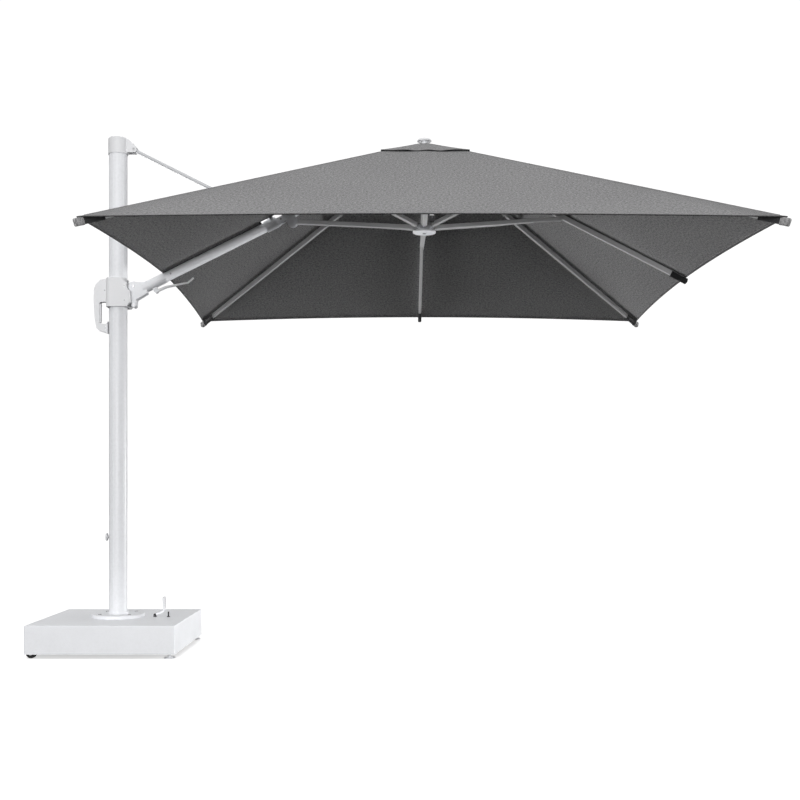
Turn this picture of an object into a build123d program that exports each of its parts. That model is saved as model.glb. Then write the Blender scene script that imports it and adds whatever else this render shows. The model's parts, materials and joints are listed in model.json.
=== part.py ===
from build123d import *
import os
from math import atan, atan2, cos, degrees, hypot, radians, sin, sqrt, tan

os.makedirs("parts", exist_ok=True)

# ---------------------------------------------------------------------------
# Cantilever parasol, open.  Millimetres, +Z up, the arm reaches towards +X.
# The origin is on the floor, under the middle of the whole object.
# ---------------------------------------------------------------------------

# Canopy
canopy_side = 3000.0
edge_hollow = 45.0
panel_slope = 0.515
rim_height = 2044.5
fabric_thickness = 1.2
arm_tenting = 26.0
vent_opening_side = 340.0
vent_cap_side = 475.0
vent_cap_lift = 7.0
finial_stem_radius = 12.0

# Mast and its cap
mast_radius = 50.0
mast_wall = 3.0
strut_pivot_rise = 13.5
mast_bottom = 190.0
groove_radius = 3.0
groove_depth = 1.2
groove_count = 12
cap_height = 79.0
cap_wall = 3.0

# Fold linkage: strut pivot, slider pivot and sleeve pivot make an isosceles triangle
mast_clearance = 206.6
pivot_stand_off = 90.0
slider_pivot_height = 2011.66
link_length = 854.0
arm_angle = degrees(atan(0.5))
arm_offset = 29.0

# Arm
arm_radius = 26.5
arm_wall = 2.5
sleeve_radius = 32.0
sleeve_inboard = 50.0
sleeve_outboard = 20.0
root_length = 100.0
root_start = 78.0
knuckle_length = 160.0
extension_height = 30.0
extension_width = 24.0
strut_radius = 9.25

# Ribs, struts and their hubs
rib_height = 28.0
rib_width = 18.0
rib_wall = 1.5
mid_rib_gap = 2.0
corner_rib_gap = 5.2
tip_overhang = 8.0
strut_height = 22.0
cheek_thickness = 3.0
flat_angle = 0.01
lug_drop = 16.0
lug_thickness = 8.0
mid_joint_radius = 758.0
corner_joint_radius = 775.0
hub_hinge_radius = 60.0
arm_hinge_radius = 40.0
lower_hinge_radius = 45.0
beam_hinge_radius = 30.0
lower_hub_drop = 472.0
beam_joint_radius = 734.6
beam_joint_rise = 31.0
beam_height = 25.0
beam_width = 26.0
hub_disc_radius = 64.0
hub_core_radius = 18.0
top_core_radius = 26.0

# Base
base_side = 790.0
cover_bottom = 23.0
cover_height = 151.0
cover_wall = 3.0
flange_radius = 145.0
flange_thickness = 20.0
collar_height = 11.0
foot_inset = 33.0
wheel_inset = 31.0
wheel_radius = 27.5
wheel_width = 24.0
foot_radius = 30.0

# Fits
pin_radius = 3.0
big_pin_radius = 4.0
running = 0.05
side_gap = 0.4
loose = 0.8

# ---------------------------------------------------------------------------
# Places worked out from the sizes above
# ---------------------------------------------------------------------------

half_side = canopy_side / 2
apex_height = rim_height + panel_slope * half_side
hub_reach = half_side + mast_clearance
tip_radius = half_side * sqrt(2) + tip_overhang
mast_x = -(hub_reach + half_side - base_side / 2) / 2
hub_x = mast_x + hub_reach
cover_top = cover_bottom + cover_height
lower_hinge_height = apex_height - lower_hub_drop
beam_joint_height = lower_hinge_height + beam_joint_rise
flange_top = cover_top + flange_thickness
wheel_stand_off = base_side / 2 - wheel_inset
foot_stand_off = base_side / 2 - foot_inset

arm_cos = cos(radians(arm_angle))
arm_sin = sin(radians(arm_angle))
pivot_x = mast_x + pivot_stand_off
strut_pivot_height = slider_pivot_height + 2 * link_length * arm_sin
mast_top = strut_pivot_height - strut_pivot_rise

# The arm's axis runs arm_offset below the line through its two pivots.
arm_start = Vector(pivot_x + arm_offset * arm_sin, 0, slider_pivot_height - arm_offset * arm_cos)
arm_side = Plane(origin=arm_start, x_dir=(arm_cos, 0, arm_sin), z_dir=(0, -1, 0))


def arm_section(distance):
    """Plane across the arm at a distance along its axis: x is across, y is up."""
    place = arm_start + Vector(arm_cos, 0, arm_sin) * distance
    return Plane(origin=place, x_dir=(0, 1, 0), z_dir=(arm_cos, 0, arm_sin))


def along_arm(x, z):
    """Distance along the arm and above its axis of a point in the arm's plane."""
    dx = x - arm_start.X
    dz = z - arm_start.Z
    return dx * arm_cos + dz * arm_sin, dz * arm_cos - dx * arm_sin


def side_plane(y=0.0):
    """Plane of the parasol's side view, x along the arm's reach and y up."""
    return Plane(origin=(0, y, 0), x_dir=(1, 0, 0), z_dir=(0, -1, 0))


def radial_plane(azimuth):
    """Upright plane through the hub's axis: x is outward, y is height above the floor."""
    turn = radians(azimuth)
    return Plane(origin=(hub_x, 0, 0), x_dir=(cos(turn), sin(turn), 0), z_dir=(sin(turn), -cos(turn), 0))


def finish(builder, name):
    """Label a finished piece and write its file."""
    builder.part.label = name
    export_step(builder.part, f"parts/{name}.step")


mid_slope = degrees(atan(panel_slope))
corner_slope = degrees(atan(panel_slope / sqrt(2)))
arm_hinge_distance = (hub_x - arm_hinge_radius - arm_start.X) / arm_cos
arm_hinge_height = arm_start.Z + arm_hinge_distance * arm_sin
beam_joint_u, beam_joint_v = along_arm(hub_x - beam_joint_radius, beam_joint_height)
sleeve_end = link_length + sleeve_outboard


def rib_line_height(radius, slope, gap):
    """Height of a rib's centre line at a radius from the hub's axis."""
    return apex_height - tan(radians(slope)) * radius - (rib_height / 2 + gap) / cos(radians(slope))


# Name, azimuth, whether it runs to a corner, length of the strut's open fork
ribs = [
    ("right", 0, False, 150),
    ("back_right", 45, True, 90),
    ("back", 90, False, 100),
    ("back_left", 135, True, 90),
    ("front_left", 225, True, 90),
    ("front", 270, False, 100),
    ("front_right", 315, True, 90),
]

# ---------------------------------------------------------------------------
# Base
# ---------------------------------------------------------------------------

base_plane = Plane(origin=(mast_x, 0, 0))
frame_tube = 30.0
frame_side = base_side - 2 * cover_wall - 8
frame_bottom = 26.0
housing_radius = 62.0
spigot_radius = 40.0

with BuildPart() as base_frame:
    with BuildSketch(base_plane.offset(frame_bottom)):
        Rectangle(frame_side, frame_side)
        Rectangle(frame_side - 2 * frame_tube, frame_side - 2 * frame_tube, mode=Mode.SUBTRACT)
    extrude(amount=frame_tube)
    with BuildSketch(base_plane.offset(frame_bottom)):
        Rectangle(frame_side - frame_tube, frame_tube)
        Rectangle(frame_tube, frame_side - frame_tube)
        Circle(housing_radius + 20)
    extrude(amount=frame_tube)
    with BuildSketch(base_plane.offset(frame_bottom)):
        with GridLocations(foot_stand_off * 2, foot_stand_off * 2, 2, 2):
            Circle(6 + loose)
    extrude(amount=frame_tube, mode=Mode.SUBTRACT)
    with BuildSketch(base_plane.offset(frame_bottom - 1)):
        with Locations((-wheel_stand_off, -foot_stand_off), (-wheel_stand_off, foot_stand_off)):
            Rectangle(2 * wheel_radius + 8, wheel_width + 16)
    extrude(amount=frame_tube + 2, mode=Mode.SUBTRACT)
finish(base_frame, "base_frame")

post_x = 280.0
pedal_x = 257.0
slab_bottom = frame_bottom + frame_tube
slab_half_gap = 50.0
slab_side = foot_stand_off - slab_half_gap - 17
slab_height = 92.0

with BuildPart() as base_cover:
    with BuildSketch(base_plane.offset(cover_bottom)):
        RectangleRounded(base_side, base_side, 6)
    extrude(amount=cover_height)
    fillet(base_cover.edges().group_by(Axis.Z)[-1], radius=4)
    with BuildSketch(base_plane.offset(cover_bottom)):
        RectangleRounded(base_side - 2 * cover_wall, base_side - 2 * cover_wall, 4)
    extrude(amount=cover_height - cover_wall, mode=Mode.SUBTRACT)
    with BuildSketch(base_plane.offset(cover_top - cover_wall)):
        Circle(housing_radius + 1)
    extrude(amount=cover_wall, mode=Mode.SUBTRACT)
finish(base_cover, "base_cover")

with BuildPart() as ballast_slabs:
    with BuildSketch(base_plane.offset(slab_bottom)):
        with GridLocations(slab_side + 2 * slab_half_gap, slab_side + 2 * slab_half_gap, 2, 2):
            RectangleRounded(slab_side, slab_side, 10)
    extrude(amount=slab_height)
finish(ballast_slabs, "ballast_slabs")

with BuildPart() as turntable_housing:
    with BuildSketch(base_plane.offset(slab_bottom)):
        Circle(housing_radius)
        with PolarLocations(housing_radius + 6, 4):
            Circle(9)
    extrude(amount=8)
    with BuildSketch(base_plane.offset(slab_bottom + 8)):
        Circle(housing_radius)
    extrude(amount=cover_top - slab_bottom - 8)
    with BuildSketch(base_plane.offset(slab_bottom + 8)):
        Circle(spigot_radius + running)
    extrude(amount=cover_top - slab_bottom, mode=Mode.SUBTRACT)
finish(turntable_housing, "turntable_housing")

with BuildPart() as housing_bolts:
    with BuildSketch(base_plane.offset(slab_bottom + 8)):
        with PolarLocations(housing_radius + 7, 4):
            RegularPolygon(6, 6)
    extrude(amount=5)
finish(housing_bolts, "housing_bolts")

bracket_wall = 4.0
axle_radius = 5.0
wheel_gap = 1.0

with BuildPart() as wheel_brackets:
    for y in (-foot_stand_off, foot_stand_off):
        for side in (-1, 1):
            inner = y + side * (wheel_width / 2 + wheel_gap + bracket_wall / 2)
            with BuildSketch(side_plane(inner)):
                with Locations((mast_x - wheel_stand_off, wheel_radius)):
                    Circle(11)
                with Locations((mast_x - wheel_stand_off, (wheel_radius + slab_bottom) / 2)):
                    Rectangle(22, slab_bottom - wheel_radius)
            extrude(amount=bracket_wall / 2, both=True)
        plate_y = y * (foot_stand_off - 3) / foot_stand_off
        with BuildSketch(Plane(origin=(mast_x - wheel_stand_off - 3, plate_y, slab_bottom))):
            Rectangle(42, 58)
        extrude(amount=bracket_wall)
        with BuildSketch(side_plane(y)):
            with Locations((mast_x - wheel_stand_off, wheel_radius)):
                Circle(axle_radius)
        extrude(amount=wheel_width / 2 + wheel_gap + bracket_wall, both=True)
finish(wheel_brackets, "wheel_brackets")

for name, y in (("front", -foot_stand_off), ("rear", foot_stand_off)):
    with BuildPart() as wheel:
        with BuildSketch(side_plane(y)):
            with Locations((mast_x - wheel_stand_off, wheel_radius)):
                Circle(wheel_radius)
                Circle(axle_radius + running, mode=Mode.SUBTRACT)
        extrude(amount=wheel_width / 2, both=True)
        fillet(wheel.edges().filter_by(GeomType.CIRCLE).sort_by(SortBy.RADIUS)[-2:], radius=4)
    finish(wheel, f"{name}_wheel")

    with BuildPart() as levelling_foot:
        with BuildSketch(Plane(origin=(mast_x + foot_stand_off, y, 0))):
            Circle(foot_radius)
        extrude(amount=5)
        with BuildSketch(Plane(origin=(mast_x + foot_stand_off, y, 5))):
            Circle(16)
        extrude(amount=8, taper=30)
        with BuildSketch(Plane(origin=(mast_x + foot_stand_off, y, 5))):
            Circle(6)
        extrude(amount=slab_bottom - 5 + 12)
    finish(levelling_foot, f"{name}_levelling_foot")

# Foot pedal: a lever that rocks in a bracket on the cover and frees the turntable
pedal_pivot_height = cover_top + 12.0
pedal_pivot_x = mast_x + 205.0
pedal_thickness = 8.0
grip_bottom = cover_top + 36.0
grip_shoulder = grip_bottom + 60.0

with BuildPart() as pedal_bracket:
    for side in (-1, 1):
        with BuildSketch(side_plane(side * (pedal_thickness / 2 + side_gap + 2))):
            with Locations((pedal_pivot_x, pedal_pivot_height)):
                Circle(7)
            with Locations((pedal_pivot_x, cover_top + 6)):
                Rectangle(14, 12)
        extrude(amount=2, both=True)
    with BuildSketch(side_plane()):
        with Locations((pedal_pivot_x, pedal_pivot_height)):
            Circle(pin_radius)
    extrude(amount=pedal_thickness / 2 + side_gap + 4, both=True)
    with BuildSketch(Plane(origin=(mast_x + post_x, 0, cover_top))):
        Circle(9)
    extrude(amount=3)
    with BuildSketch(Plane(origin=(mast_x + post_x, 0, cover_top + 3))):
        Circle(4)
    extrude(amount=26)
finish(pedal_bracket, "pedal_bracket")

with BuildPart() as pedal_arm:
    with BuildSketch(side_plane()):
        with BuildLine():
            Polyline(
                (pedal_pivot_x, pedal_pivot_height - 6),
                (mast_x + pedal_x - 6, cover_top + 24),
                (mast_x + pedal_x + 5, grip_bottom),
                (mast_x + pedal_x - 5, grip_bottom),
                (mast_x + pedal_x - 14, cover_top + 32),
                (pedal_pivot_x, pedal_pivot_height + 6),
                close=True,
            )
        make_face()
        with Locations((pedal_pivot_x, pedal_pivot_height)):
            Circle(6)
            Circle(pin_radius + running, mode=Mode.SUBTRACT)
    extrude(amount=pedal_thickness / 2, both=True)
finish(pedal_arm, "pedal_arm")

with BuildPart() as pedal_grip:
    with BuildSketch(Plane(origin=(mast_x + pedal_x, 0, grip_bottom))):
        RectangleRounded(12, 22, 5)
    with BuildSketch(Plane(origin=(mast_x + pedal_x, 0, grip_shoulder))):
        RectangleRounded(20, 26, 9)
    loft()
    with BuildSketch(Plane(origin=(mast_x + pedal_x, 0, grip_shoulder))):
        RectangleRounded(20, 26, 9)
    extrude(amount=18)
    fillet(pedal_grip.edges().group_by(Axis.Z)[-1], radius=8)
finish(pedal_grip, "pedal_grip")

# ---------------------------------------------------------------------------
# Mast
# ---------------------------------------------------------------------------

turn_gap = 0.5

with BuildPart() as mast_flange:
    with BuildSketch(base_plane.offset(cover_top + turn_gap)):
        Circle(flange_radius)
    extrude(amount=flange_thickness - turn_gap)
    fillet(mast_flange.edges().group_by(Axis.Z)[-1], radius=5)
    with BuildSketch(base_plane.offset(flange_top)):
        Circle(mast_radius + 6)
    extrude(amount=collar_height)
    with BuildSketch(base_plane.offset(slab_bottom + 12)):
        Circle(spigot_radius)
    extrude(amount=cover_top + turn_gap - slab_bottom - 12)
    with BuildSketch(base_plane.offset(mast_bottom)):
        Circle(mast_radius)
    extrude(amount=flange_top + collar_height - mast_bottom, mode=Mode.SUBTRACT)
finish(mast_flange, "mast_flange")

with BuildPart() as mast_tube:
    with BuildSketch(base_plane.offset(mast_bottom)):
        Circle(mast_radius)
        with PolarLocations(mast_radius + groove_radius - groove_depth, groove_count, 15):
            Circle(groove_radius, mode=Mode.SUBTRACT)
        Circle(mast_radius - mast_wall, mode=Mode.SUBTRACT)
    extrude(amount=mast_top - mast_bottom)
finish(mast_tube, "mast_tube")

with BuildPart() as flange_bolts:
    with BuildSketch(base_plane.offset(flange_top)):
        with PolarLocations(flange_radius - 30, 4, 45):
            Circle(9)
    extrude(amount=4)
    fillet(flange_bolts.edges().group_by(Axis.Z)[-1], radius=2)
finish(flange_bolts, "flange_bolts")

cap_top = mast_top + cap_height
cap_radius = mast_radius + cap_wall + 1.0
nose_end = pivot_stand_off + 16.0
nose_width = 46.0
strut_eye_width = 18.0
eye_radius = 12.0
nose_slot = strut_eye_width + 2 * side_gap

with BuildPart() as mast_cap:
    with BuildSketch(base_plane.offset(mast_top - 12)):
        Circle(cap_radius)
    extrude(amount=cap_height + 12)
    fillet(mast_cap.edges().group_by(Axis.Z)[-1], radius=9)
    with BuildSketch(side_plane()):
        with BuildLine():
            Polyline(
                (mast_x, mast_top - 4),
                (mast_x + nose_end - 8, mast_top - 4),
                (mast_x + nose_end, mast_top + 4),
                (mast_x + nose_end, mast_top + 26),
                (mast_x + 66, cap_top - 14),
                (mast_x + 40, cap_top),
                (mast_x, cap_top),
                close=True,
            )
        make_face()
    extrude(amount=nose_width / 2, both=True)
    with BuildSketch(base_plane.offset(mast_top - 12)):
        Circle(mast_radius)
    extrude(amount=12, mode=Mode.SUBTRACT)
    with BuildSketch(base_plane.offset(mast_top)):
        Circle(mast_radius - 12)
    extrude(amount=cap_height - 22, mode=Mode.SUBTRACT)
    with BuildSketch(side_plane()):
        with Locations((pivot_x, strut_pivot_height)):
            Circle(eye_radius + 3)
        with Locations((pivot_x + 30, strut_pivot_height - 20)):
            Rectangle(60, 70)
        with Locations((pivot_x + 4, strut_pivot_height - 30)):
            Rectangle(38, 60)
    extrude(amount=nose_slot / 2, both=True, mode=Mode.SUBTRACT)
    with BuildSketch(side_plane()):
        with Locations((pivot_x, strut_pivot_height)):
            Circle(big_pin_radius)
    extrude(amount=nose_width / 2, both=True, mode=Mode.SUBTRACT)
finish(mast_cap, "mast_cap")

with BuildPart() as cap_pin:
    with BuildSketch(side_plane()):
        with Locations((pivot_x, strut_pivot_height)):
            Circle(big_pin_radius)
    extrude(amount=nose_width / 2, both=True)
    for side in (-1, 1):
        with BuildSketch(side_plane(side * (nose_width / 2 + 1))):
            with Locations((pivot_x, strut_pivot_height)):
                Circle(7)
        extrude(amount=1, both=True)
finish(cap_pin, "cap_pin")

knob_height = 620.0
knob_gap = 4.0
stud_radius = 5.0
knob_side = Plane(origin=(mast_x - mast_radius, 0, knob_height), z_dir=(-1, 0, 0))

with BuildPart() as strap_knob:
    with BuildSketch(knob_side.offset(knob_gap)):
        Circle(9)
    extrude(amount=5)
    with BuildSketch(knob_side.offset(knob_gap + 5)):
        Circle(22)
    extrude(amount=9)
    fillet(strap_knob.edges().filter_by(GeomType.CIRCLE).sort_by(SortBy.RADIUS)[-2:], radius=3)
    with BuildSketch(knob_side):
        Circle(stud_radius + running)
    extrude(amount=30, mode=Mode.SUBTRACT)
finish(strap_knob, "strap_knob")

with BuildPart() as knob_stud:
    with BuildSketch(knob_side.offset(-3)):
        Circle(stud_radius)
    extrude(amount=knob_gap + 14 + side_gap + 3)
    with BuildSketch(knob_side.offset(knob_gap + 14 + side_gap)):
        Circle(9)
    extrude(amount=2)
    with BuildSketch(base_plane.offset(mast_bottom)):
        Circle(mast_radius)
    extrude(amount=mast_top - mast_bottom, mode=Mode.SUBTRACT)
finish(knob_stud, "knob_stud")

# ---------------------------------------------------------------------------
# Upper strut
# ---------------------------------------------------------------------------

fork_reach = 62.0
fork_half_gap = sleeve_radius + 1.0
fork_plate = 5.0
strut_side = Plane(
    origin=(pivot_x, 0, strut_pivot_height), x_dir=(arm_cos, 0, -arm_sin), z_dir=(0, -1, 0)
)


def strut_section(distance):
    """Plane across the upper strut at a distance from its top pivot."""
    place = Vector(pivot_x + arm_cos * distance, 0, strut_pivot_height - arm_sin * distance)
    return Plane(origin=place, x_dir=(0, 1, 0), z_dir=(arm_cos, 0, -arm_sin))


with BuildPart() as upper_strut:
    with BuildSketch(strut_section(24)):
        Circle(strut_radius)
    extrude(amount=link_length - fork_reach - 24)
    with BuildSketch(strut_side):
        Circle(eye_radius)
        with Locations((15, 0)):
            Rectangle(30, 2 * strut_radius)
        Circle(big_pin_radius + running, mode=Mode.SUBTRACT)
    extrude(amount=strut_eye_width / 2, both=True)
finish(upper_strut, "upper_strut")

with BuildPart() as strut_fork:
    with BuildSketch(strut_side):
        with Locations((link_length, 0)):
            Circle(10)
        with Locations((link_length - fork_reach / 2 + 6, 0)):
            Rectangle(fork_reach - 12, 18)
    extrude(amount=fork_half_gap + fork_plate, both=True)
    with BuildSketch(strut_side):
        with Locations((link_length - fork_reach / 2 + 12, 0)):
            Rectangle(fork_reach + 2, 40)
    extrude(amount=fork_half_gap, both=True, mode=Mode.SUBTRACT)
    with BuildSketch(strut_section(link_length - fork_reach)):
        RectangleRounded(2 * (fork_half_gap + fork_plate), 18, 5)
    extrude(amount=12)
    with BuildSketch(strut_side):
        with Locations((link_length, 0)):
            Circle(big_pin_radius)
    extrude(amount=fork_half_gap + fork_plate, both=True, mode=Mode.SUBTRACT)
finish(strut_fork, "strut_fork")

with BuildPart() as fork_screws:
    for side in (-1, 1):
        with BuildSketch(strut_side.offset(side * (fork_half_gap + fork_plate))):
            with Locations((link_length, 0)):
                Circle(big_pin_radius)
        extrude(amount=-side * (fork_plate + 9))
        with BuildSketch(strut_side.offset(side * (fork_half_gap + fork_plate))):
            with Locations((link_length, 0)):
                Circle(7)
        extrude(amount=side * 3)
finish(fork_screws, "fork_screws")

# ---------------------------------------------------------------------------
# Slider that runs on the mast
# ---------------------------------------------------------------------------

bore_radius = mast_radius + 4.0
collar_half_width = 62.0
collar_rise = 46.0
collar_fall = 115.0
collar_top = slider_pivot_height + collar_rise
collar_bottom = slider_pivot_height - collar_fall
grip_middle = slider_pivot_height - 145.0
grip_opening_length = 122.0
grip_half_width = 19.0
tongue_half_width = 14.0
tongue_radius = 20.0
knuckle_radius = 28.0

with BuildPart() as slider_body:
    with BuildSketch(side_plane()):
        with BuildLine():
            Polyline(
                (mast_x - 57, collar_top),
                (mast_x - 57, collar_bottom),
                (mast_x + 60, collar_bottom),
                (mast_x + 86, collar_bottom + 33),
                (mast_x + 84, collar_top - 38),
                (mast_x + 52, collar_top - 24),
                (mast_x + 52, collar_top),
                close=True,
            )
        make_face()
    extrude(amount=collar_half_width, both=True)
    fillet(slider_body.edges().filter_by(Axis.Z), radius=24)
    fillet(slider_body.faces().sort_by(Axis.Z)[-1].edges(), radius=5)
    with BuildSketch(side_plane()):
        with BuildLine():
            Polyline(
                (mast_x - 55, collar_top - 1),
                (mast_x - 95, collar_top - 7),
                (mast_x - 121, collar_top - 32),
                (mast_x - 131, collar_top - 60),
                (mast_x - 133, collar_top - 118),
                (mast_x - 127, grip_middle - 33),
                (mast_x - 118, grip_middle - 84),
                (mast_x - 105, grip_middle - 98),
                (mast_x - 55, grip_middle - 114),
                close=True,
            )
        make_face()
        with Locations((mast_x - 78, grip_middle)):
            RectangleRounded(46, grip_opening_length, 14, mode=Mode.SUBTRACT)
    extrude(amount=grip_half_width, both=True)
    with BuildSketch(base_plane):
        Circle(bore_radius)
    extrude(amount=mast_top, mode=Mode.SUBTRACT)
    with BuildSketch(side_plane()):
        with Locations((pivot_x, slider_pivot_height)):
            Circle(knuckle_radius + 2)
        with Locations((pivot_x + 18, slider_pivot_height - 70)):
            Rectangle(56, 150)
    extrude(amount=collar_half_width, both=True, mode=Mode.SUBTRACT)
    with BuildSketch(side_plane()):
        with Locations((pivot_x, slider_pivot_height)):
            Circle(tongue_radius)
        with Locations((pivot_x - 16, slider_pivot_height)):
            Rectangle(32, 2 * tongue_radius)
    extrude(amount=tongue_half_width, both=True)
    with BuildSketch(base_plane):
        Circle(bore_radius)
    extrude(amount=mast_top, mode=Mode.SUBTRACT)
    with BuildSketch(side_plane()):
        with Locations((pivot_x, slider_pivot_height)):
            Circle(big_pin_radius + running)
    extrude(amount=tongue_half_width, both=True, mode=Mode.SUBTRACT)

bolt_height = slider_pivot_height - 50.0
bolt_radius = 7.0
trigger_x = mast_x - 98.0
trigger_height = 104.0
trigger_travel = 6.0

screw_places = [
    (mast_x - 71, collar_top - 66, grip_half_width),
    (mast_x + 48, collar_top - 46, collar_half_width),
    (mast_x + 48, collar_bottom + 33, collar_half_width),
    (mast_x - 66, grip_middle - 85, grip_half_width),
]
screw_radius = 4.0
screw_length = 10.0

for name, side in (("front", -1), ("rear", 1)):
    with BuildPart() as shell:
        add(slider_body.part)
        split(bisect_by=Plane(origin=(0, 0, 0), z_dir=(0, side, 0)), keep=Keep.TOP)
        with BuildSketch(Plane(origin=(mast_x - 49, 0, bolt_height), z_dir=(-1, 0, 0))):
            Circle(bolt_radius + running)
        extrude(amount=58, mode=Mode.SUBTRACT)
        with BuildSketch(side_plane()):
            with Locations((trigger_x - 8, grip_middle)):
                Rectangle(26, trigger_height + 2)
        extrude(amount=13, both=True, mode=Mode.SUBTRACT)
        for x, z, depth in screw_places:
            with BuildSketch(side_plane(side * (depth - screw_length / 2))):
                with Locations((x, z)):
                    Circle(screw_radius)
            extrude(amount=screw_length / 2 + 1, both=True, mode=Mode.SUBTRACT)
    finish(shell, f"slider_{name}_shell")

with BuildPart() as slider_screws:
    for x, z, depth in screw_places:
        for side in (-1, 1):
            with BuildSketch(side_plane(side * (depth - screw_length / 2 - 1))):
                with Locations((x, z)):
                    Circle(screw_radius - running)
            extrude(amount=screw_length / 2, both=True)
finish(slider_screws, "slider_screws")

with BuildPart() as slider_bushes:
    for z in (collar_bottom + 10, collar_top - 34):
        with BuildSketch(base_plane.offset(z)):
            Circle(bore_radius)
            Circle(mast_radius + running, mode=Mode.SUBTRACT)
        extrude(amount=24)
finish(slider_bushes, "slider_bushes")

with BuildPart() as latch_bolt:
    with BuildSketch(Plane(origin=(mast_x - bore_radius - 1, 0, bolt_height), z_dir=(-1, 0, 0))):
        Circle(bolt_radius)
    extrude(amount=36)
finish(latch_bolt, "latch_bolt")

with BuildPart() as release_trigger:
    with BuildSketch(side_plane()):
        with Locations((trigger_x, grip_middle)):
            RectangleRounded(8, trigger_height, 3)
    extrude(amount=12, both=True)
finish(release_trigger, "release_trigger")

# ---------------------------------------------------------------------------
# Arm yoke and sleeve: these do not roll with the arm
# ---------------------------------------------------------------------------

yoke_half_width = 26.0
journal_radius = 22.0
leg_bottom = slider_pivot_height - 104.0
slot_half_width = tongue_half_width + side_gap

with BuildPart() as arm_yoke:
    with BuildSketch(side_plane()):
        with BuildLine():
            Polyline(
                (pivot_x - 10, leg_bottom),
                (pivot_x + 14, leg_bottom),
                (pivot_x + 16, leg_bottom + 32),
                (pivot_x + 76, slider_pivot_height - 36),
                (pivot_x + 70, slider_pivot_height + 24),
                (pivot_x + 12, slider_pivot_height + 25),
                (pivot_x - 10, slider_pivot_height),
                close=True,
            )
        make_face()
        with Locations((pivot_x, slider_pivot_height)):
            Circle(knuckle_radius)
        with Locations((pivot_x + 2, leg_bottom)):
            Circle(12)
    extrude(amount=yoke_half_width, both=True)
    with BuildSketch(arm_section(40)):
        Circle(30)
    extrude(amount=root_start - 40)
    with BuildSketch(side_plane()):
        with Locations((pivot_x - 8, slider_pivot_height)):
            Rectangle(2 * (tongue_radius + 12), 120)
    extrude(amount=slot_half_width, both=True, mode=Mode.SUBTRACT)
    with BuildSketch(arm_section(root_start)):
        Circle(journal_radius + running)
    extrude(amount=-32, mode=Mode.SUBTRACT)
    with BuildSketch(side_plane()):
        with Locations((pivot_x, slider_pivot_height)):
            Circle(big_pin_radius)
    extrude(amount=yoke_half_width, both=True, mode=Mode.SUBTRACT)
finish(arm_yoke, "arm_yoke")

with BuildPart() as yoke_pin:
    with BuildSketch(side_plane()):
        with Locations((pivot_x, slider_pivot_height)):
            Circle(big_pin_radius)
    extrude(amount=yoke_half_width, both=True)
    for side in (-1, 1):
        with BuildSketch(side_plane(side * (yoke_half_width + 1))):
            with Locations((pivot_x, slider_pivot_height), (pivot_x + 2, leg_bottom)):
                Circle(7)
        extrude(amount=1, both=True)
finish(yoke_pin, "yoke_pin")

with BuildPart() as arm_sleeve:
    with BuildSketch(arm_section(link_length - sleeve_inboard)):
        Circle(sleeve_radius)
    extrude(amount=sleeve_inboard + sleeve_outboard)
    with BuildSketch(arm_side):
        with Locations((link_length, arm_offset)):
            Circle(11)
    extrude(amount=sleeve_radius, both=True)
    with BuildSketch(arm_section(link_length - sleeve_inboard)):
        Circle(arm_radius + running)
    extrude(amount=sleeve_inboard + sleeve_outboard, mode=Mode.SUBTRACT)
    with BuildSketch(arm_side):
        with Locations((link_length, arm_offset)):
            Circle(big_pin_radius + running)
    extrude(amount=sleeve_radius, both=True, mode=Mode.SUBTRACT)
finish(arm_sleeve, "arm_sleeve")

# ---------------------------------------------------------------------------
# Arm: root casting, tube, knuckle casting, extension, tilt lever
# ---------------------------------------------------------------------------

root_end = root_start + root_length
tube_end = sleeve_end + 2.0
knuckle_end = tube_end + knuckle_length
plug_radius = arm_radius - arm_wall
lever_pivot_u, lever_pivot_v = along_arm(pivot_x + 123.6, slider_pivot_height - 22)
lever_width = 16.0
lug_outer = 13.0

with BuildPart() as arm_root:
    with BuildSketch(arm_section(root_start + side_gap)):
        Circle(30)
    with BuildSketch(arm_section(root_end)):
        Circle(arm_radius + 2.5)
    loft()
    with BuildSketch(arm_section(root_start - 28)):
        Circle(journal_radius)
    extrude(amount=30)
    with BuildSketch(arm_side):
        with Locations((lever_pivot_u, lever_pivot_v)):
            Circle(12)
        with Locations((lever_pivot_u, lever_pivot_v / 2)):
            Rectangle(24, -lever_pivot_v)
    extrude(amount=lug_outer, both=True)
    with BuildSketch(arm_side):
        with Locations((lever_pivot_u, lever_pivot_v)):
            Circle(16)
    extrude(amount=lever_width / 2 + side_gap, both=True, mode=Mode.SUBTRACT)
    with BuildSketch(arm_side):
        with Locations((lever_pivot_u, lever_pivot_v)):
            Circle(pin_radius)
    extrude(amount=lug_outer, both=True)
    with BuildSketch(arm_section(root_start + 40)):
        Circle(arm_radius)
    extrude(amount=root_length, mode=Mode.SUBTRACT)
finish(arm_root, "arm_root")

with BuildPart() as arm_tube:
    with BuildSketch(arm_section(root_start + 40)):
        Circle(arm_radius)
        Circle(plug_radius, mode=Mode.SUBTRACT)
    extrude(amount=tube_end - root_start - 40)
finish(arm_tube, "arm_tube")

lever_tip_u, lever_tip_v = along_arm(pivot_x + 330, slider_pivot_height + 52)

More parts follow.
